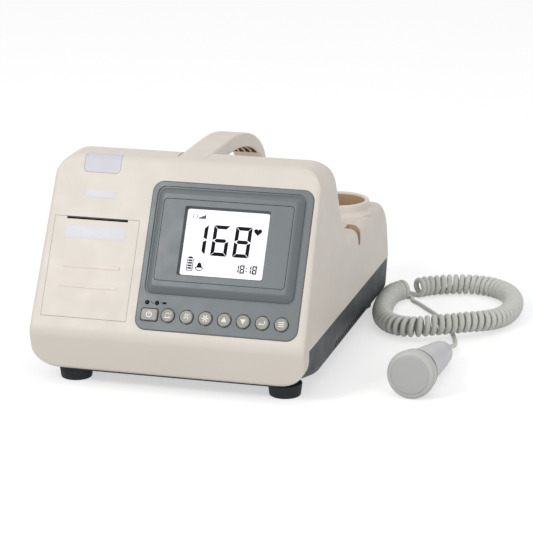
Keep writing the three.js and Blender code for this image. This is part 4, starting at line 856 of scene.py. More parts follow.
def handle_bar():
    outer = handle_line(0, handle_front_depth, math.pi / 2, 28)
    inner = handle_line(handle_thickness, handle_front_depth, math.pi / 2, 28)
    foot = [
        (handle_back_depth, handle_leg_height),
        (handle_back_depth - handle_thickness, handle_leg_height),
    ]
    places = [(y, z, 0) for y, z in outer + foot + inner[::-1]]
    bm = make_plate(places, *handle_x)
    ends = [
        e for e in bm.edges
        if all(abs(v.co.x - handle_front_depth) < tiny for v in e.verts)
        and abs(e.verts[0].co.y - e.verts[1].co.y) > tiny
    ]
    bmesh.ops.bevel(
        bm, geom=ends, offset=handle_front_radius, offset_type="OFFSET", segments=8,
        profile=0.5, affect="EDGES", material=-1,
    )
    turned = [e for e in bm.edges if e.calc_face_angle(0) > math.radians(50)]
    bmesh.ops.bevel(
        bm, geom=turned, offset=handle_edge, offset_type="OFFSET", segments=3,
        profile=0.5, affect="EDGES", material=-1, clamp_overlap=True,
    )
    return bm


def handle_pockets():
    roof = handle_line(handle_thickness - pocket_depth, pocket_front_depth, pocket_end_angle, 14)
    below = handle_line(handle_thickness + overrun, pocket_front_depth, pocket_end_angle, 14)
    places = [(y, z, 0) for y, z in roof + below[::-1]]
    room = handle_x[1] - handle_x[0] - 2 * handle_edge - (pocket_count - 1) * pocket_rib
    width = room / pocket_count
    pockets = []
    for i in range(pocket_count):
        left = handle_x[0] + handle_edge + i * (width + pocket_rib)
        pockets.append(make_plate(places, left, left + width))
    return gather(*pockets)


# The pockets' walls take the deeper tan: painted shade.
handle_solid = carve(
    make_solid(handle_bar(), side_frame),
    mark_faces(make_solid(handle_pockets(), side_frame)),
)
make_piece(
    handle_solid, "handle", cream, stands_for=["carry_handle"], hard=40, flat=True,
    second=painted_shade_cream,
)

# %% [markdown]
# ## The probe cup
# A cup is a turned shape. Its wall is drawn once, as a line, and spun round its axis.

# %% Probe cup
def arc_points(centre, radius, start, stop, steps):
    """Points on a round, from start to stop degrees."""
    angles = [math.radians(start + (stop - start) * i / steps) for i in range(steps + 1)]
    return [(centre[0] + radius * math.cos(a), centre[1] + radius * math.sin(a)) for a in angles]


cup_inner_radius = 25.6
cup_rim_radius = 2.15
cup_rim_height = 117.05
cup_profile = [
    (0, 66), (24, 66), (28, 101.9), (cup_ring_radius, 101.9),
    *arc_points((cup_ring_radius - cup_rim_radius, cup_rim_height), cup_rim_radius, 0, 180, 10),
    (25.5, 112), (25.4, 101.9), (21.5, 68.5), (0, 68.5),
]
cup_axis = case_origin + Vector((*cup_place, 0)) * MM
cup_shade_top = 116.5


# Faces inside the cup, below its rim, take the deeper tan: painted shade.
def in_cup_shade(face):
    away = face.center - cup_axis
    return away.xy.length < cup_inner_radius * MM and face.center.z < cup_shade_top * MM


cup_solid = mark_faces(make_solid(moved(make_spun(cup_profile, 72), *cup_place)), in_cup_shade)
make_piece(
    cup_solid, "cup", cream, stands_for=["probe_cup"], hard=30, second=painted_shade_cream
)

# %% [markdown]
# ## The grey base
# The base is a tray. Its front corners are large rounds, its long edges small ones, and at the
# rear its floor lifts. Like the case it is a row of stations, this time from front to back.
# Slanted vents are cut into both long edges.

# %% Base tray
base_grey = make_finish("base_grey_plastic", (50, 56, 60), 0.5, tone=0.03, Specular_IOR_Level=0.3)
# The vents' walls are painted near black: painted shade inside the slots.
vent_painted_shade = make_finish("vent_painted_shade", (20, 22, 24), 0.7, tone=0.02, Specular_IOR_Level=0.1)
base_front_depth = 9.3
base_rear_depth = 335.5
base_step = 0.8
base_draft = 1.9
base_bottom_height = 12
base_wall = 2.5
base_floor = 3
base_edge_radius = 7
base_corner_radius = 31
corner_blend = 48
rear_rim = 14
heel_rise = 6
heel_length = 13
front_shares = [0, 0.08, 0.2, 0.35, 0.5, 0.65, 0.82, 1]
rear_shares = [0, 0.25, 0.45, 0.62, 0.76, 0.87, 0.95, 1]
vent_count = 12
vent_front_depth = 104
vent_pitch = 9.8
vent_width = 4
vent_rise = 11
vent_reach = 7


def base_form(inset, lowest, highest):
    places = []
    for share in front_shares:
        eased = share**2 * (3 - 2 * share)
        radius = base_corner_radius - inset + eased * (base_edge_radius - base_corner_radius)
        places.append((base_front_depth + inset + share * (corner_blend - inset), radius, 0))
    places += [
        (base_rear_depth - rear_rim + share * (rear_rim - inset), base_edge_radius - inset / 2, share)
        for share in rear_shares
    ]
    stations = []
    for y, radius, share in places:
        reach = rear_rim - inset
        plan = reach - math.sqrt(max(reach**2 - (share * reach) ** 2, 0))
        rise = heel_rise * max(0, (y - (base_rear_depth - heel_length)) / heel_length)
        half = case_half_width - base_step - inset - plan
        low = lowest + rise
        left, right = case_middle - half, case_middle + half
        outline = [
            (left + base_draft, low, radius),
            (right - base_draft, low, radius),
            (right, highest, 0),
            (left, highest, 0),
        ]
        stations.append([(p.x, y, p.y) for p in rounded(outline, 8)])
    return join_stations(stations)


def vent_cutters():
    low = base_bottom_height - overrun
    rise = vent_rise + overrun
    left = (case_x[0] - overrun, case_x[0] + vent_reach)
    right = (case_x[1] - vent_reach, case_x[1] + overrun)
    slots = []
    for i in range(vent_count):
        front = vent_front_depth + vent_pitch * i
        back = front + vent_width
        slanted = [
            (front, low, 0), (back, low, 0), (back + rise, low + rise, 0), (front + rise, low + rise, 0)
        ]
        slots += [make_plate(slanted, *x) for x in (left, right)]
    return gather(*slots)


base_solid = carve(
    make_solid(base_form(0, base_bottom_height, parting_height - seam)),
    make_solid(base_form(base_wall, base_bottom_height + base_floor, parting_height + overrun)),
    mark_faces(make_solid(vent_cutters(), side_frame)),
)
make_piece(
    base_solid, "base_tray", base_grey, stands_for=["base_shell"], hard=28, flat=True,
    second=vent_painted_shade,
)

# %% [markdown]
# ## The feet
# Four turned rubber feet, a little wider at the top, each with a hollow for its screw.

# %% Feet
foot_rubber = make_finish(
    "foot_rubber", (37, 41, 44), 0.62, tone=0.05, grain=500, depth=0.00005, Specular_IOR_Level=0.3
)
foot_height = 11.7
foot_sole_radius = 12.6
foot_sole_edge = 1.4
foot_top_radius = 14.2
foot_top_edge = 1
foot_profile = [
    (0, 5.5), (5, 5.5), (5, 0), (foot_sole_radius, 0),
    *arc_points((foot_sole_radius, foot_sole_edge), foot_sole_edge, -90, 0, 4),
    *arc_points((foot_top_radius, foot_height - foot_top_edge), foot_top_edge, 0, 90, 4),
    (0, foot_height),
]
foot_places = [(x, y) for y in (27, 300) for x in (-94.5, 98.4)]
for i, (x, y) in enumerate(foot_places, start=1):
    make_piece(
        make_solid(moved(make_spun(foot_profile, 48), x, y)), f"rubber_foot_{i}", foot_rubber,
        stands_for=[f"foot_{i}"], hard=35,
    )

# %% [markdown]
# ## The control bezel
# The grey bezel is a flat plate with a raised frame for the display. The frame's sides slope,
# so its top outline is the lower one drawn in. Recesses and holes are carved last.

# %% Control bezel
bezel_grey = make_finish("bezel_grey_plastic", (116, 122, 124), 0.34, tone=0.02, Specular_IOR_Level=0.35)
# A darker copy of the bezel grey for the window's sloping sides: painted shade.
bezel_painted_shade = make_finish("bezel_window_painted_shade", (70, 76, 78), 0.5, tone=0.02)
frame_x = (-24, 109)
frame_v = (27.5, 123.2)
bezel_rise = 1
frame_height = 6
bezel_edge = 1
bezel_bottom = -5.1
hole_bottom = -8
valley_width = 1.5
valley_inset = 1
valley_outer_radius = 8
valley_inner_radius = 6
valley_n = (-0.3, 3)
frame_steps = [
    (0, 7, -2), (0, 7, -0.3), (0.5, 6.6, 0.9), (4.9, 3.4, 5.1), (5.5, 3, 5.7),
    (6.6, 2.4, frame_height),
]
lens_middle = (42, 75.5)
lens_size = (117.5, 73.6)
lens_radius = 3
lens_back = 2.3
window_size = (84.6, 68.6)
key_radius = 5.75
key_gap = 0.9
key_pitch = 17
first_key_x = -0.7
key_v = 8.8
key_places = [(first_key_x + i * key_pitch, key_v) for i in range(7)]
power_middle = (-17.4, 8.4)
power_size = (14.5, 10.3)
power_x = about(power_middle[0], power_size[0])
power_v = about(power_middle[1], power_size[1])
power_radius = 2
light_places = [(-21.1, 19.3), (-12.1, 19.3)]
light_radius = 1.75


def frame_block():
    rings = []
    for inset, radius, height in frame_steps:
        outline = corners_of(wider(frame_x, -inset), wider(frame_v, -inset), radius)
        rings.append([(p.x, p.y, height) for p in rounded(outline, 10)])
    return join_stations(rings)


def frame_plate(by, radius, span):
    outline = corners_of(wider(frame_x, by), wider(frame_v, by), radius)
    return make_solid(make_plate(outline, *span), face_frame)


def frame_valley():
    outer = frame_plate(valley_width, valley_outer_radius, valley_n)
    inner = frame_plate(-valley_inset, valley_inner_radius, wider(valley_n, overrun))
    return carve(outer, inner)


def bezel_holes():
    deep = (hole_bottom, bezel_rise + overrun)
    holes = [moved(make_rod(key_radius + key_gap, *deep), *place) for place in key_places]
    power = corners_of(wider(power_x, key_gap), wider(power_v, key_gap), power_radius + seam)
    holes.append(make_plate(power, *deep))
    holes += [moved(make_rod(light_radius + seam, *deep, sides=24), *place) for place in light_places]
    return gather(*holes)


def lens_places(by):
    x = about(lens_middle[0], lens_size[0] + 2 * by)
    v = about(lens_middle[1], lens_size[1] + 2 * by)
    return corners_of(x, v, lens_radius + by)


bezel_outline = corners_of(bezel_x, bezel_v, bezel_radius)
bezel_plate = make_plate(bezel_outline, bezel_bottom, bezel_rise, 12, bezel_edge, 4)
bezel_solid = carve(make_solid(bezel_plate, face_frame), frame_valley())
bezel_solid = carve(bezel_solid, make_solid(frame_block(), face_frame), operation="UNION")
recess = make_plate(lens_places(seam), lens_back - seam, frame_height + overrun)
window_x = about(lens_middle[0], window_size[0])
window_v = about(lens_middle[1], window_size[1])
window = make_box(window_x, window_v, (hole_bottom, lens_back))
bezel_solid = carve(
    bezel_solid,
    make_solid(recess, face_frame),
    make_solid(window, face_frame),
    make_solid(bezel_holes(), face_frame),
)
make_piece(
    bezel_solid, "bezel", bezel_grey, stands_for=["control_bezel"], hard=35, flat=True
)

# %% [markdown]
# ## The display's own frame
# A second grey plate sits in the recess, with a thin seam round it. Its window narrows
# downwards, and its four sloping sides are painted darker round the screen, as painted shade.

# %% Display frame
display_edge = 0.5
aperture = (78, 62.8)
aperture_radius = 2
aperture_slope = 1.9
display_plate = make_plate(lens_places(0), lens_back, frame_height, 6, display_edge, 2)
aperture_x = about(lens_middle[0], aperture[0])
aperture_v = about(lens_middle[1], aperture[1])
opening = make_plate(
    corners_of(aperture_x, aperture_v, aperture_radius), lens_back - seam, frame_height + seam, 4
)
bmesh.ops.scale(
    opening, vec=[1 - 2 * aperture_slope / side for side in aperture] + [1],
    space=Matrix.Translation((-lens_middle[0], -lens_middle[1], 0)),
    verts=[v for v in opening.verts if v.co.z < lens_back],
)
display_solid = carve(make_solid(display_plate, face_frame), mark_faces(make_solid(opening, face_frame)))
make_piece(
    display_solid, "display_surround", bezel_grey, stands_for=["display_frame"],
    hard=30, flat=True, second=bezel_painted_shade,
)

# %% [markdown]
# ## The screen
# The screen is a backlit panel: plain, nearly white, and a little bright by itself. What it
# shows is laid on it as thin dark shapes: seven-stroke numbers, bars and small signs.

# %% Screen
screen_white = make_finish(
    "screen_white", (244, 243, 249), 0.25, tone=0.004, grain=2500, depth=0.000004,
    Emission_Color=colour_of((250, 249, 255)), Emission_Strength=0.28,
)
ink_black = make_finish(
    "ink_black", (10, 10, 13), 0.6, tone=0.05, grain=2500, depth=0.000004, Specular_IOR_Level=0.1
)
ink_grey = make_finish(
    "ink_grey", (138, 138, 143), 0.6, tone=0.05, grain=2500, depth=0.000004, Specular_IOR_Level=0.1
)
screen_height = 2.0
ink_height = 0.12


def show_node(name, finish):
    """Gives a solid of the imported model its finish, and joins its triangles."""
    node = nodes[name]
    node.data.materials.clear()
    node.data.materials.append(finish)
    weld = node.modifiers.new("weld", "WELD")
    weld.merge_threshold = 0.00001


show_node("lcd_panel", screen_white)


def flat_shapes(outlines, low, height):
    """Thin raised shapes, one for each outline of (x, y)."""
    bm = bmesh.new()
    for outline in outlines:
        bm.faces.new([bm.verts.new((x, y, low)) for x, y in outline])
    bmesh.ops.recalc_face_normals(bm, faces=bm.faces)
    top = bmesh.ops.extrude_face_region(bm, geom=bm.faces[:], use_keep_orig=True)["geom"]
    verts = [v for v in top if isinstance(v, bmesh.types.BMVert)]
    bmesh.ops.translate(bm, vec=(0, 0, height), verts=verts)
    return bm


def print_shapes(outlines, low, height, name, finish, body="root"):
    """Lays thin shapes on the leaning face as one piece."""
    make_piece(make_solid(flat_shapes(outlines, low, height), face_frame), name, finish, body=body)


# %% Seven-stroke numbers
strokes_of = {"1": "bc", "6": "acdefg", "8": "abcdefg"}
number_lean_share = 0.02
big_digits = {"width": 11.5, "height": 24.2, "thick": 3.2, "slack": 0.3, "step": 19.8}
clock_digits = {"width": 2.9, "height": 6.3, "thick": 1.1, "slack": 0.06, "step": 4.9}
numbers = [
    ("168", (11.8, 66.2), big_digits),
    ("18", (53.9, 51.3), clock_digits),
    ("18", (65, 51.3), clock_digits),
]
clock_dot_radius = 0.6
clock_dot_places = [(64.2, 52.8), (64.2, 55.4)]


def number_outlines(text, left, bottom, width, height, thick, slack, step):
    half = height / 2
    reach = thick / 2
    far_x, far_y = width + reach, height + reach

    def flat(low, high, out):
        return [(slack + reach, low), (width - slack - reach, low), (width + out, high), (-out, high)]

    def tall(inner, outer, low, high, out_low, out_high):
        return [(inner, low + reach), (outer, low - out_low), (outer, high + out_high), (inner, high - reach)]

    corner = reach - slack
    shapes = {
        "a": flat(height - reach, far_y, corner),
        "d": flat(reach, -reach, corner),
        "b": tall(width - reach, far_x, half + slack, height - slack, 0, corner + slack),
        "c": tall(width - reach, far_x, slack, half - slack, corner + slack, 0),
        "e": tall(reach, -reach, slack, half - slack, corner + slack, 0),
        "f": tall(reach, -reach, half + slack, height - slack, 0, corner + slack),
        "g": [
            (slack, half), (slack + reach, half - reach), (width - slack - reach, half - reach),
            (width - slack, half), (width - slack - reach, half + reach), (slack + reach, half + reach),
        ],
    }
    outlines = []
    for place, digit in enumerate(text):
        for stroke in strokes_of[digit]:
            origin = left + place * step
            outlines.append([
                (origin + x + number_lean_share * y, bottom + y) for x, y in shapes[stroke]
            ])
    return outlines


def dot_outline(x, y, radius, sides=10):
    turns = [2 * math.pi * i / sides for i in range(sides)]
    return [(x + radius * math.cos(t), y + radius * math.sin(t)) for t in turns]


number_shapes = []
for text, place, sizes in numbers:
    number_shapes += number_outlines(text, *place, **sizes)
number_shapes += [dot_outline(*place, clock_dot_radius) for place in clock_dot_places]
print_shapes(number_shapes, screen_height, ink_height, "screen_numbers", ink_black)

# %% [markdown]
# ## Small signs
# The other signs are a heart, a bell, a battery with its charge bars, a sound sign, and the
# strength bars beside it. Each is drawn about its own middle from shapes, bars and arcs, and
# then moved to its place.

# %% Parts of a sign
def bar_outline(x, y, length, width, angle=0):
    turn = Matrix.Rotation(math.radians(angle), 2)
    right, up = length / 2, width / 2
    corners = [(-right, -up), (right, -up), (right, up), (-right, up)]
    return [tuple(Vector((x, y)) + turn @ Vector(corner)) for corner in corners]


def arc_outline(x, y, radius, width, start, stop, steps=14):
    inner = arc_points((x, y), radius - width / 2, start, stop, steps)
    outer = arc_points((x, y), radius + width / 2, start, stop, steps)
    return inner + outer[::-1]


def sign_outlines(place, shapes=(), bars=(), arcs=(), growth_share=1):
    """Bars are (x, y, length, width, angle), arcs (x, y, radius, width, start, stop)."""
    drawn = [*shapes]
    drawn += [bar_outline(*bar) for bar in bars]
    drawn += [arc_outline(*arc) for arc in arcs]
    return [
        [(place[0] + x * growth_share, place[1] + y * growth_share) for x, y in outline]
        for outline in drawn
    ]


# %% Signs on the screen
heart_place = (70.2, 88.4)
heart_size = 7.2
battery_place = (12.9, 50.6)
bell_place = (21.6, 50.6)
sound_place = (11.8, 98.5)
strength_place = (15.2, 96.8)
strength_pitch = 1.35
strength_width = 1.1
strength_lowest = 1
strength_step = 0.6
battery_roof = [(-2.7, 10.2), (2.7, 10.2), (1.3, 12), (-1.3, 12)]
battery_bars = [
    (-2.6, 4.95, 0.6, 9.9), (2.6, 4.95, 0.6, 9.9), (0, 1.65, 3.6, 1.5), (0, 3.95, 3.6, 1.5),
    (0, 6.25, 3.6, 1.5), (0, 8.55, 3.6, 1.5), (0, -0.4, 5.8, 0.6),
]
bell_body = [(-3.1, 2.5), (3.1, 2.5), (2, 4.2), (1.5, 6.4), (0, 7.4), (-1.5, 6.4), (-2, 4.2)]
bell_arc = (0, 3.6, 3.7, 0.7, 190, 350)
sound_arcs = [(0.6, 0, 2.1, 0.6, 115, 245), (0, 0, 2.1, 0.6, -65, 65)]


def heart_outline():
    points = []
    for i in range(28):
        t = 2 * math.pi * i / 28
        across = 16 * math.sin(t) ** 3
        up = 13 * math.cos(t) - 5 * math.cos(2 * t) - 2 * math.cos(3 * t) - math.cos(4 * t)
        points.append((across * heart_size / 32, up * heart_size / 32))
    return points


strength_bars = []
for i in range(5):
    tall = strength_lowest + strength_step * i
    strength_bars.append((strength_pitch * i + strength_width / 2, tall / 2, strength_width, tall))
screen_signs = [
    *sign_outlines(heart_place, shapes=[heart_outline()]),
    *sign_outlines(battery_place, shapes=[battery_roof], bars=battery_bars),
    *sign_outlines(bell_place, shapes=[bell_body], arcs=[bell_arc]),
    *sign_outlines(strength_place, bars=strength_bars),
]
sound_sign = sign_outlines(sound_place, arcs=sound_arcs)
print_shapes(screen_signs, screen_height, ink_height, "screen_signs", ink_black)
print_shapes(sound_sign, screen_height, ink_height, "sound_sign", ink_grey)

# %% [markdown]
# ## The push keys
# A key is a turned button with a slightly hollow top. All seven come from one line, and each
# rides on its own body, so it moves when it is pushed.

# %% Round keys
key_grey = make_finish("key_grey_plastic", (156, 154, 147), 0.4, tone=0.02)
key_top = 3
key_edge = 0.9
flange_width = 1
flange_n = (-3.1, -1.8)
key_profile = [
    (0, flange_n[0]), (key_radius + flange_width, flange_n[0]),
    (key_radius + flange_width, flange_n[1]), (key_radius, flange_n[1]),
    *arc_points((key_radius - key_edge, key_top - key_edge), key_edge, 0, 90, 6),
    (3.6, 2.86), (1.8, 2.78), (0, 2.75),
]
for i, place in enumerate(key_places, start=1):
    make_piece(
        make_solid(moved(make_spun(key_profile, 48), *place), face_frame), f"push_key_{i}", key_grey,
        body=f"key_{i}_body", stands_for=[f"key_{i}"], hard=40,
    )

# %% Power key
power_edge = 0.8
power_outline = corners_of(power_x, power_v, power_radius)
power_cap = make_plate(power_outline, flange_n[1], key_top, 6, power_edge, 3)
flange_outline = corners_of(wider(power_x, flange_width), wider(power_v, flange_width), 0)
power_flange = make_plate(flange_outline, *flange_n)
make_piece(
    carve(make_solid(power_cap, face_frame), make_solid(power_flange, face_frame), operation="UNION"),
    "push_key_power", key_grey, body="power_key_body", stands_for=["power_key"], hard=35,
    flat=True,
)

# %% [markdown]
# ## The signs on the keys
# Each key has a white printed sign. They are generic signs, thin as paint.

# %% Key signs
print_white = make_finish("print_white", (240, 240, 236), 0.4, tone=0.01, grain=2500, depth=0.000004)
sign_low = 2.74
sign_growth_share = 1.25
sign_height = 0.16
power_sign_height = 0.1
key_signs = [
    {
        "bars": [
            (-1.3, -0.3, 0.5, 1.2), (1.3, -0.3, 0.5, 1.2), (0, -1.55, 4.4, 0.7),
            (2.2, 1.8, 1.2, 0.4, 35),
        ],
        "arcs": [(0, 0.3, 1.3, 0.5, 0, 180)],
    },
    {
        "bars": [(0, 0.1, 1.2, 0.5, 90), (1.9, 1.6, 0.9, 0.4, 40)],
        "arcs": [(0, 1.2, 0.9, 0.5, 0, 359), (0, -1.8, 1.5, 0.55, 10, 170)],
    },
    {"bars": [(0, 0, 5, 0.7, angle) for angle in (0, 60, 120)]},
    {"shapes": [[(-2, -1.5), (2, -1.5), (0, 2)]]},
    {"shapes": [[(-2, 1.5), (0, -2), (2, 1.5)]]},
    {
        "shapes": [[(-2.4, -0.9), (-1, -1.9), (-1, 0.1)]],
        "bars": [(0.45, -0.9, 3.3, 0.6), (1.9, 0.1, 0.6, 2.6)],
    },
    {"bars": [(0, middle, 4, 0.65) for middle in (1.425, 0.025, -1.375)]},
]
power_sign = {"bars": [(0, 1.6, 0.8, 2.8)], "arcs": [(0, 0, 2.3, 0.8, 125, 415)]}
for i, (place, parts) in enumerate(zip(key_places, key_signs), start=1):
    outlines = sign_outlines(place, growth_share=sign_growth_share, **parts)
    print_shapes(
        outlines, sign_low, sign_height, f"key_sign_{i}", print_white, f"key_{i}_body"
    )
print_shapes(
    sign_outlines(power_middle, **power_sign), key_top, power_sign_height, "key_sign_power",
    print_white, "power_key_body",
)

# %% [markdown]
# ## Indicator lights
# Two small dark light windows stand above the power key, each with a tiny printed sign.

# %% Indicator lights
light_black = make_finish(
    "light_black", (12, 12, 14), 0.4, tone=0.02, grain=300, depth=0.000004, Specular_IOR_Level=0.15
)
light_bottom = -6.5
light_shoulder = 1
light_edge = 0.6
light_crown = 1.66
light_sign_height = 0.08
light_profile = [
    (0, light_bottom), (light_radius, light_bottom),
    *arc_points((light_radius - light_edge, light_shoulder), light_edge, 0, 90, 4),
    (0, light_crown),
]
lights = [moved(make_spun(light_profile, 32), *place) for place in light_places]
make_piece(
    make_solid(gather(*lights), face_frame), "light_windows", light_black,
    stands_for=["indicator_lights"], hard=40,
)
wave_place = (-16.6, 19.5)
wave_arcs = [(-0.8, 0, 0.8, 0.35, 0, 180, 8), (0.8, 0, 0.8, 0.35, 180, 360, 8)]
cell_place = (-6.7, 19.5)
cell_bars = [(-1.4, 0, 1.8, 0.4), (1.4, 0, 3.4, 1.8)]
light_signs = sign_outlines(wave_place, arcs=wave_arcs) + sign_outlines(cell_place, bars=cell_bars)
print_shapes(light_signs, bezel_rise, light_sign_height, "light_signs", ink_black)

# %% [markdown]
# ## The printer door
# The door is a flat panel with two low bars to pull at, and a slit at its top for the paper.
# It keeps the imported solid's shape, and gets its triangles joined and the case's plastic.

# %% Printer door
show_node("printer_door", cream)

# %% [markdown]
# ## Plates on the face
# On the real unit a name plate sits above the door and a label on it. Both stay bare here: a
# thin satin plate each, in the plate's own white.

# %% Bare plates
plate_white = make_finish("plate_white", (230, 230, 235), 0.5, tone=0.012, grain=1500, depth=0.00001)
bare_plates = {
    "bare_name_plate": ((-92, -64.8), (109.8, 116.3), 0.8, 0.25, 0.1, "root"),
    "bare_door_label": ((-106, -50), (72, 83.5), 0.5, 0.15, 0.06, "door_body"),
}
for name, (x, v, radius, high, edge, body) in bare_plates.items():
    plate = make_plate(corners_of(x, v, radius), 0, high, 4, edge, 2)
    make_piece(make_solid(plate, face_frame), name, plate_white, body=body, hard=40)

# %% [markdown]
# ## The probe
# The probe is a turned body with a soft face. It lies on its side, on its head and its tail,
# so every part of it is spun in the probe's own frame.

# %% Probe
probe_light = make_finish("probe_light_plastic", (203, 203, 206), 0.36, tone=0.015)
probe_soft = make_finish("probe_face_rubber", (188, 188, 186), 0.5, tone=0.02, grain=1200)
probe_rim = make_finish("probe_rim_plastic", (200, 201, 196), 0.45, tone=0.02)
band_dark = make_finish("probe_band_dark", (38, 38, 42), 0.25, tone=0.2, grain=400)
face_profile = [
    (0, 1.7), (17.4, 1.7), (17.4, 0.1), (16.9, -0.3), (15.8, -0.5), (11.4, -0.6), (0, -0.65)
]
head_profile = [
    (17.7, 2), (17.5, 2), (17.5, 0.1), (18.6, 0.35), (19.6, 0.9), (20.4, 1.5), (21.1, 2.4), (21.5, 3.6),
    (21.6, 5), (21.4, 7.5), (21.0, 11), (20.8, 13.2), (20.5, 13.6), (17.7, 13.6), (17.7, 2),
]
band_profile = [(15, 13.8), (20.6, 13.8), (20.6, 15), (20.4, 17.2), (20.2, 18), (15, 18), (15, 13.8)]
grip_points = [
    (19.4, 18.7), (18.7, 22), (17.5, 30), (16.4, 41), (15.3, 55), (13.8, 73), (12.4, 90),
    (11.1, 102), (9.2, 108), (5.5, 110),
]
body_profile = [
    (0, 5.6), (14.7, 5.6), (14.7, 18.2), (19.1, 18.2), *smooth_through(grip_points, 5), (0, 110)
]
relief_profile = [
    (0, 110.3), (4.5, 110.3), (4.5, 112), (4, 113), (3.6, 116), (3.1, 120), (2.5, 125.2),
    (0, 125.2),
]
probe_parts = {
    "probe_soft_face": (face_profile, probe_soft, "probe_face", "probe_face"),
    "probe_head_shell": (head_profile, probe_rim, "probe_shell", "probe_head"),
    "probe_ring": (band_profile, band_dark, "probe_band", "probe_band"),
    "probe_grip": (body_profile, probe_light, "probe_shell", "probe_body"),
    "probe_relief": (relief_profile, cord_grey, "cord", "probe_strain_relief"),
}
for name, (profile, finish, slot, node) in probe_parts.items():
    turned = make_solid(make_spun(profile, 72), probe_frame)
    make_piece(turned, name, finish, stands_for=[node], hard=38)

# %% [markdown]
# ## The plug
# The cord ends in a moulded plug in the rear wall's socket. Both are turned pieces.

# %% Plug and its strain relief
inner_black = make_finish("inner_black_plastic", (40, 41, 44), 0.45, tone=0.05)
relief_radius = 4.5
relief_low = 26.9
relief_high = 46.8
relief_tip_radius = 2.3
rib_low = 27.4
rib_pitch = 3.1
rib_width = 1.9
rib_slope = 0.3
groove_width = 0.7
groove_depth = 0.7
rib_taper = 0.36
plug_profile = [
    (0, -6.7), (4.5, -6.7), (4.5, 2.6), (8, 2.6), (8.5, 3.1), (8.5, 10), (8.2, 10.6),
    (8.5, 11.2), (8.5, 23.4), (7.6, 25.6), (6.2, 26.6), (0, 26.6),
]
plug_piece = make_piece(
    make_solid(make_spun(plug_profile, 48), plug_frame), "cord_plug", cord_grey,
    stands_for=["probe_plug"], hard=38,
)
plug_relief_profile = [(0, relief_low), (relief_radius, relief_low)]
for i in range(6):
    radius = relief_radius - rib_taper * i
    low = rib_low + rib_pitch * i
    high = low + rib_width
    groove = high + rib_slope
    plug_relief_profile += [
        (radius, low), (radius, high), (radius - groove_depth, groove),
        (radius - groove_depth, groove + groove_width),
    ]
plug_relief_profile += [(relief_tip_radius, relief_high), (0, relief_high)]
plug_relief_piece = make_piece(
    make_solid(make_spun(plug_relief_profile, 36), plug_frame), "plug_relief", cord_grey,
    stands_for=["plug_strain_relief"], hard=38,
)

# %% [markdown]
# ## What lies inside
# Boards, battery, speaker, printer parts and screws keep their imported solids. They show only
# when the door is open, and still each gets the finish of its material.

# %% Inner finishes
board_green = make_finish("board_green", (44, 104, 70), 0.4, tone=0.18, grain=250, depth=0.00008)
steel_plain = make_finish("steel_plain", (186, 188, 190), 0.32, tone=0.04, grain=700, Metallic=1.0)
# The tear bar's steel is darkened so that the paper slit shows black: painted shade.
blade_painted_shade = make_finish("blade_steel_painted_shade", (34, 33, 33), 0.35, tone=0.08, grain=700, Metallic=1.0)
brass_plain = make_finish("brass_plain", (204, 168, 84), 0.35, tone=0.05, grain=700, Metallic=1.0)
rubber_black = make_finish("rubber_black", (36, 36, 38), 0.7, tone=0.06, grain=600, depth=0.00004)
paper_white = make_finish("paper_white", (243, 242, 237), 0.8, tone=0.02, grain=1800)
wrap_blue = make_finish("battery_wrap", (62, 110, 168), 0.3, tone=0.05, grain=500)
gear_white = make_finish("gear_white_plastic", (222, 221, 215), 0.45, tone=0.02)
inner_finishes = {
    board_green: [
        "lcd_board", "keypad_board", "alarm_lamp_board", "main_board", "power_supply_board",
        "print_head",
    ],
    blade_painted_shade: ["tear_bar"],
    steel_plain: [
        "door_hinge_pin", "printer_motor", "inlet_pins",
        *[f"case_screw_{i}" for i in range(1, 5)],
    ],
    brass_plain: ["motor_pinion", "transducer_disc"],
    rubber_black: ["keypad_mat", "platen_roller"],
    paper_white: ["paper_roll"],
    wrap_blue: ["battery_pack"],
    gear_white: ["feed_gear"],
    inner_black: ["printer_chassis", "power_inlet", "probe_socket", "speaker"],
}
for finish, names in inner_finishes.items():
    for name in names:
        show_node(name, finish)
print("solids kept:", sum(len(names) for names in inner_finishes.values()))

# %% [markdown]
# ## Floor and light
# A plain white floor, a pale world, and three soft lamps. The key lamp stands high at the
# left front, as in the photograph, where the right side of the case lies in mild shade.

# %% Floor
floor_white_share = 0.65
floor_lift_share = 0.56
floor_reach = 12


def camera_share(tree):
    """1 where the camera, a gloss or a glass sees the surface, and 0 for its light."""
    path = tree.nodes.new("ShaderNodeLightPath")
    total = path.outputs["Is Camera Ray"]
    for name in ("Is Glossy Ray", "Is Transmission Ray"):
        add = tree.nodes.new("ShaderNodeMath")
        add.operation = "MAXIMUM"
        tree.links.new(total, add.inputs[0])
        tree.links.new(path.outputs[name], add.inputs[1])
        total = add.outputs[0]
    return total


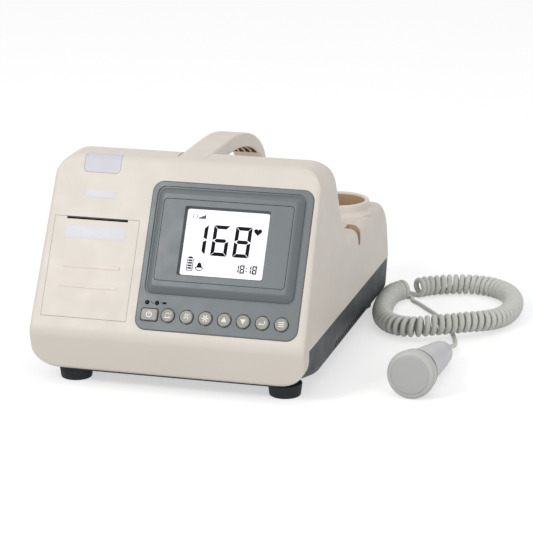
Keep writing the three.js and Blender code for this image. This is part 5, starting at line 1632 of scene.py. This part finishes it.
floor_finish = bpy.data.materials.new("floor_white")
floor_finish.use_nodes = True
floor_tree = floor_finish.node_tree
floor_shader = floor_tree.nodes["Principled BSDF"]
floor_shader.inputs["Base Color"].default_value = (*[floor_white_share] * 3, 1)
floor_shader.inputs["Roughness"].default_value = 0.9
floor_shader.inputs["Specular IOR Level"].default_value = 0.0
floor_shader.inputs["Emission Color"].default_value = (1, 1, 1, 1)
lift = floor_tree.nodes.new("ShaderNodeMath")
lift.operation = "MULTIPLY"
lift.inputs[1].default_value = floor_lift_share
floor_tree.links.new(camera_share(floor_tree), lift.inputs[0])
floor_tree.links.new(lift.outputs[0], floor_shader.inputs["Emission Strength"])
floor_bm = bmesh.new()
bmesh.ops.create_grid(floor_bm, x_segments=1, y_segments=1, size=floor_reach)
floor_mesh = bpy.data.meshes.new("floor")
floor_bm.to_mesh(floor_mesh)
floor_bm.free()
floor = bpy.data.objects.new("floor", floor_mesh)
floor_mesh.materials.append(floor_finish)
link(floor)

# %% World and lamps
world = bpy.data.worlds.new("studio")
bpy.context.scene.world = world
world.use_nodes = True
world_tree = world.node_tree
backdrop = world_tree.nodes["Background"]
soft_light_share = 0.54
level = world_tree.nodes.new("ShaderNodeMapRange")
level.inputs["To Min"].default_value = soft_light_share
level.inputs["To Max"].default_value = 1.0
world_tree.links.new(camera_share(world_tree), level.inputs["Value"])
world_tree.links.new(level.outputs["Result"], backdrop.inputs["Strength"])
backdrop.inputs["Color"].default_value = (1, 1, 1, 1)


lamp_aim = Vector((0, 0, 0.1))
soft_lamps = {
    "key_lamp": ((-1.1, -1.8, 1.6), 0.6, 20),
    "fill_lamp": ((1.8, -1.5, 0.7), 1.6, 9),
    "top_lamp": ((0.1, 0.3, 2.2), 1.4, 3),
}


def soft_lamp(name, place, size, power):
    data = bpy.data.lights.new(name, "AREA")
    data.shape = "SQUARE"
    data.size = size
    data.energy = power
    lamp = bpy.data.objects.new(name, data)
    lamp.location = place
    lamp.rotation_mode = "QUATERNION"
    lamp.rotation_quaternion = (lamp_aim - Vector(place)).to_track_quat("-Z", "Y")
    link(lamp)


for name, sizes in soft_lamps.items():
    soft_lamp(name, *sizes)
bpy.context.scene.view_settings.view_transform = "Standard"
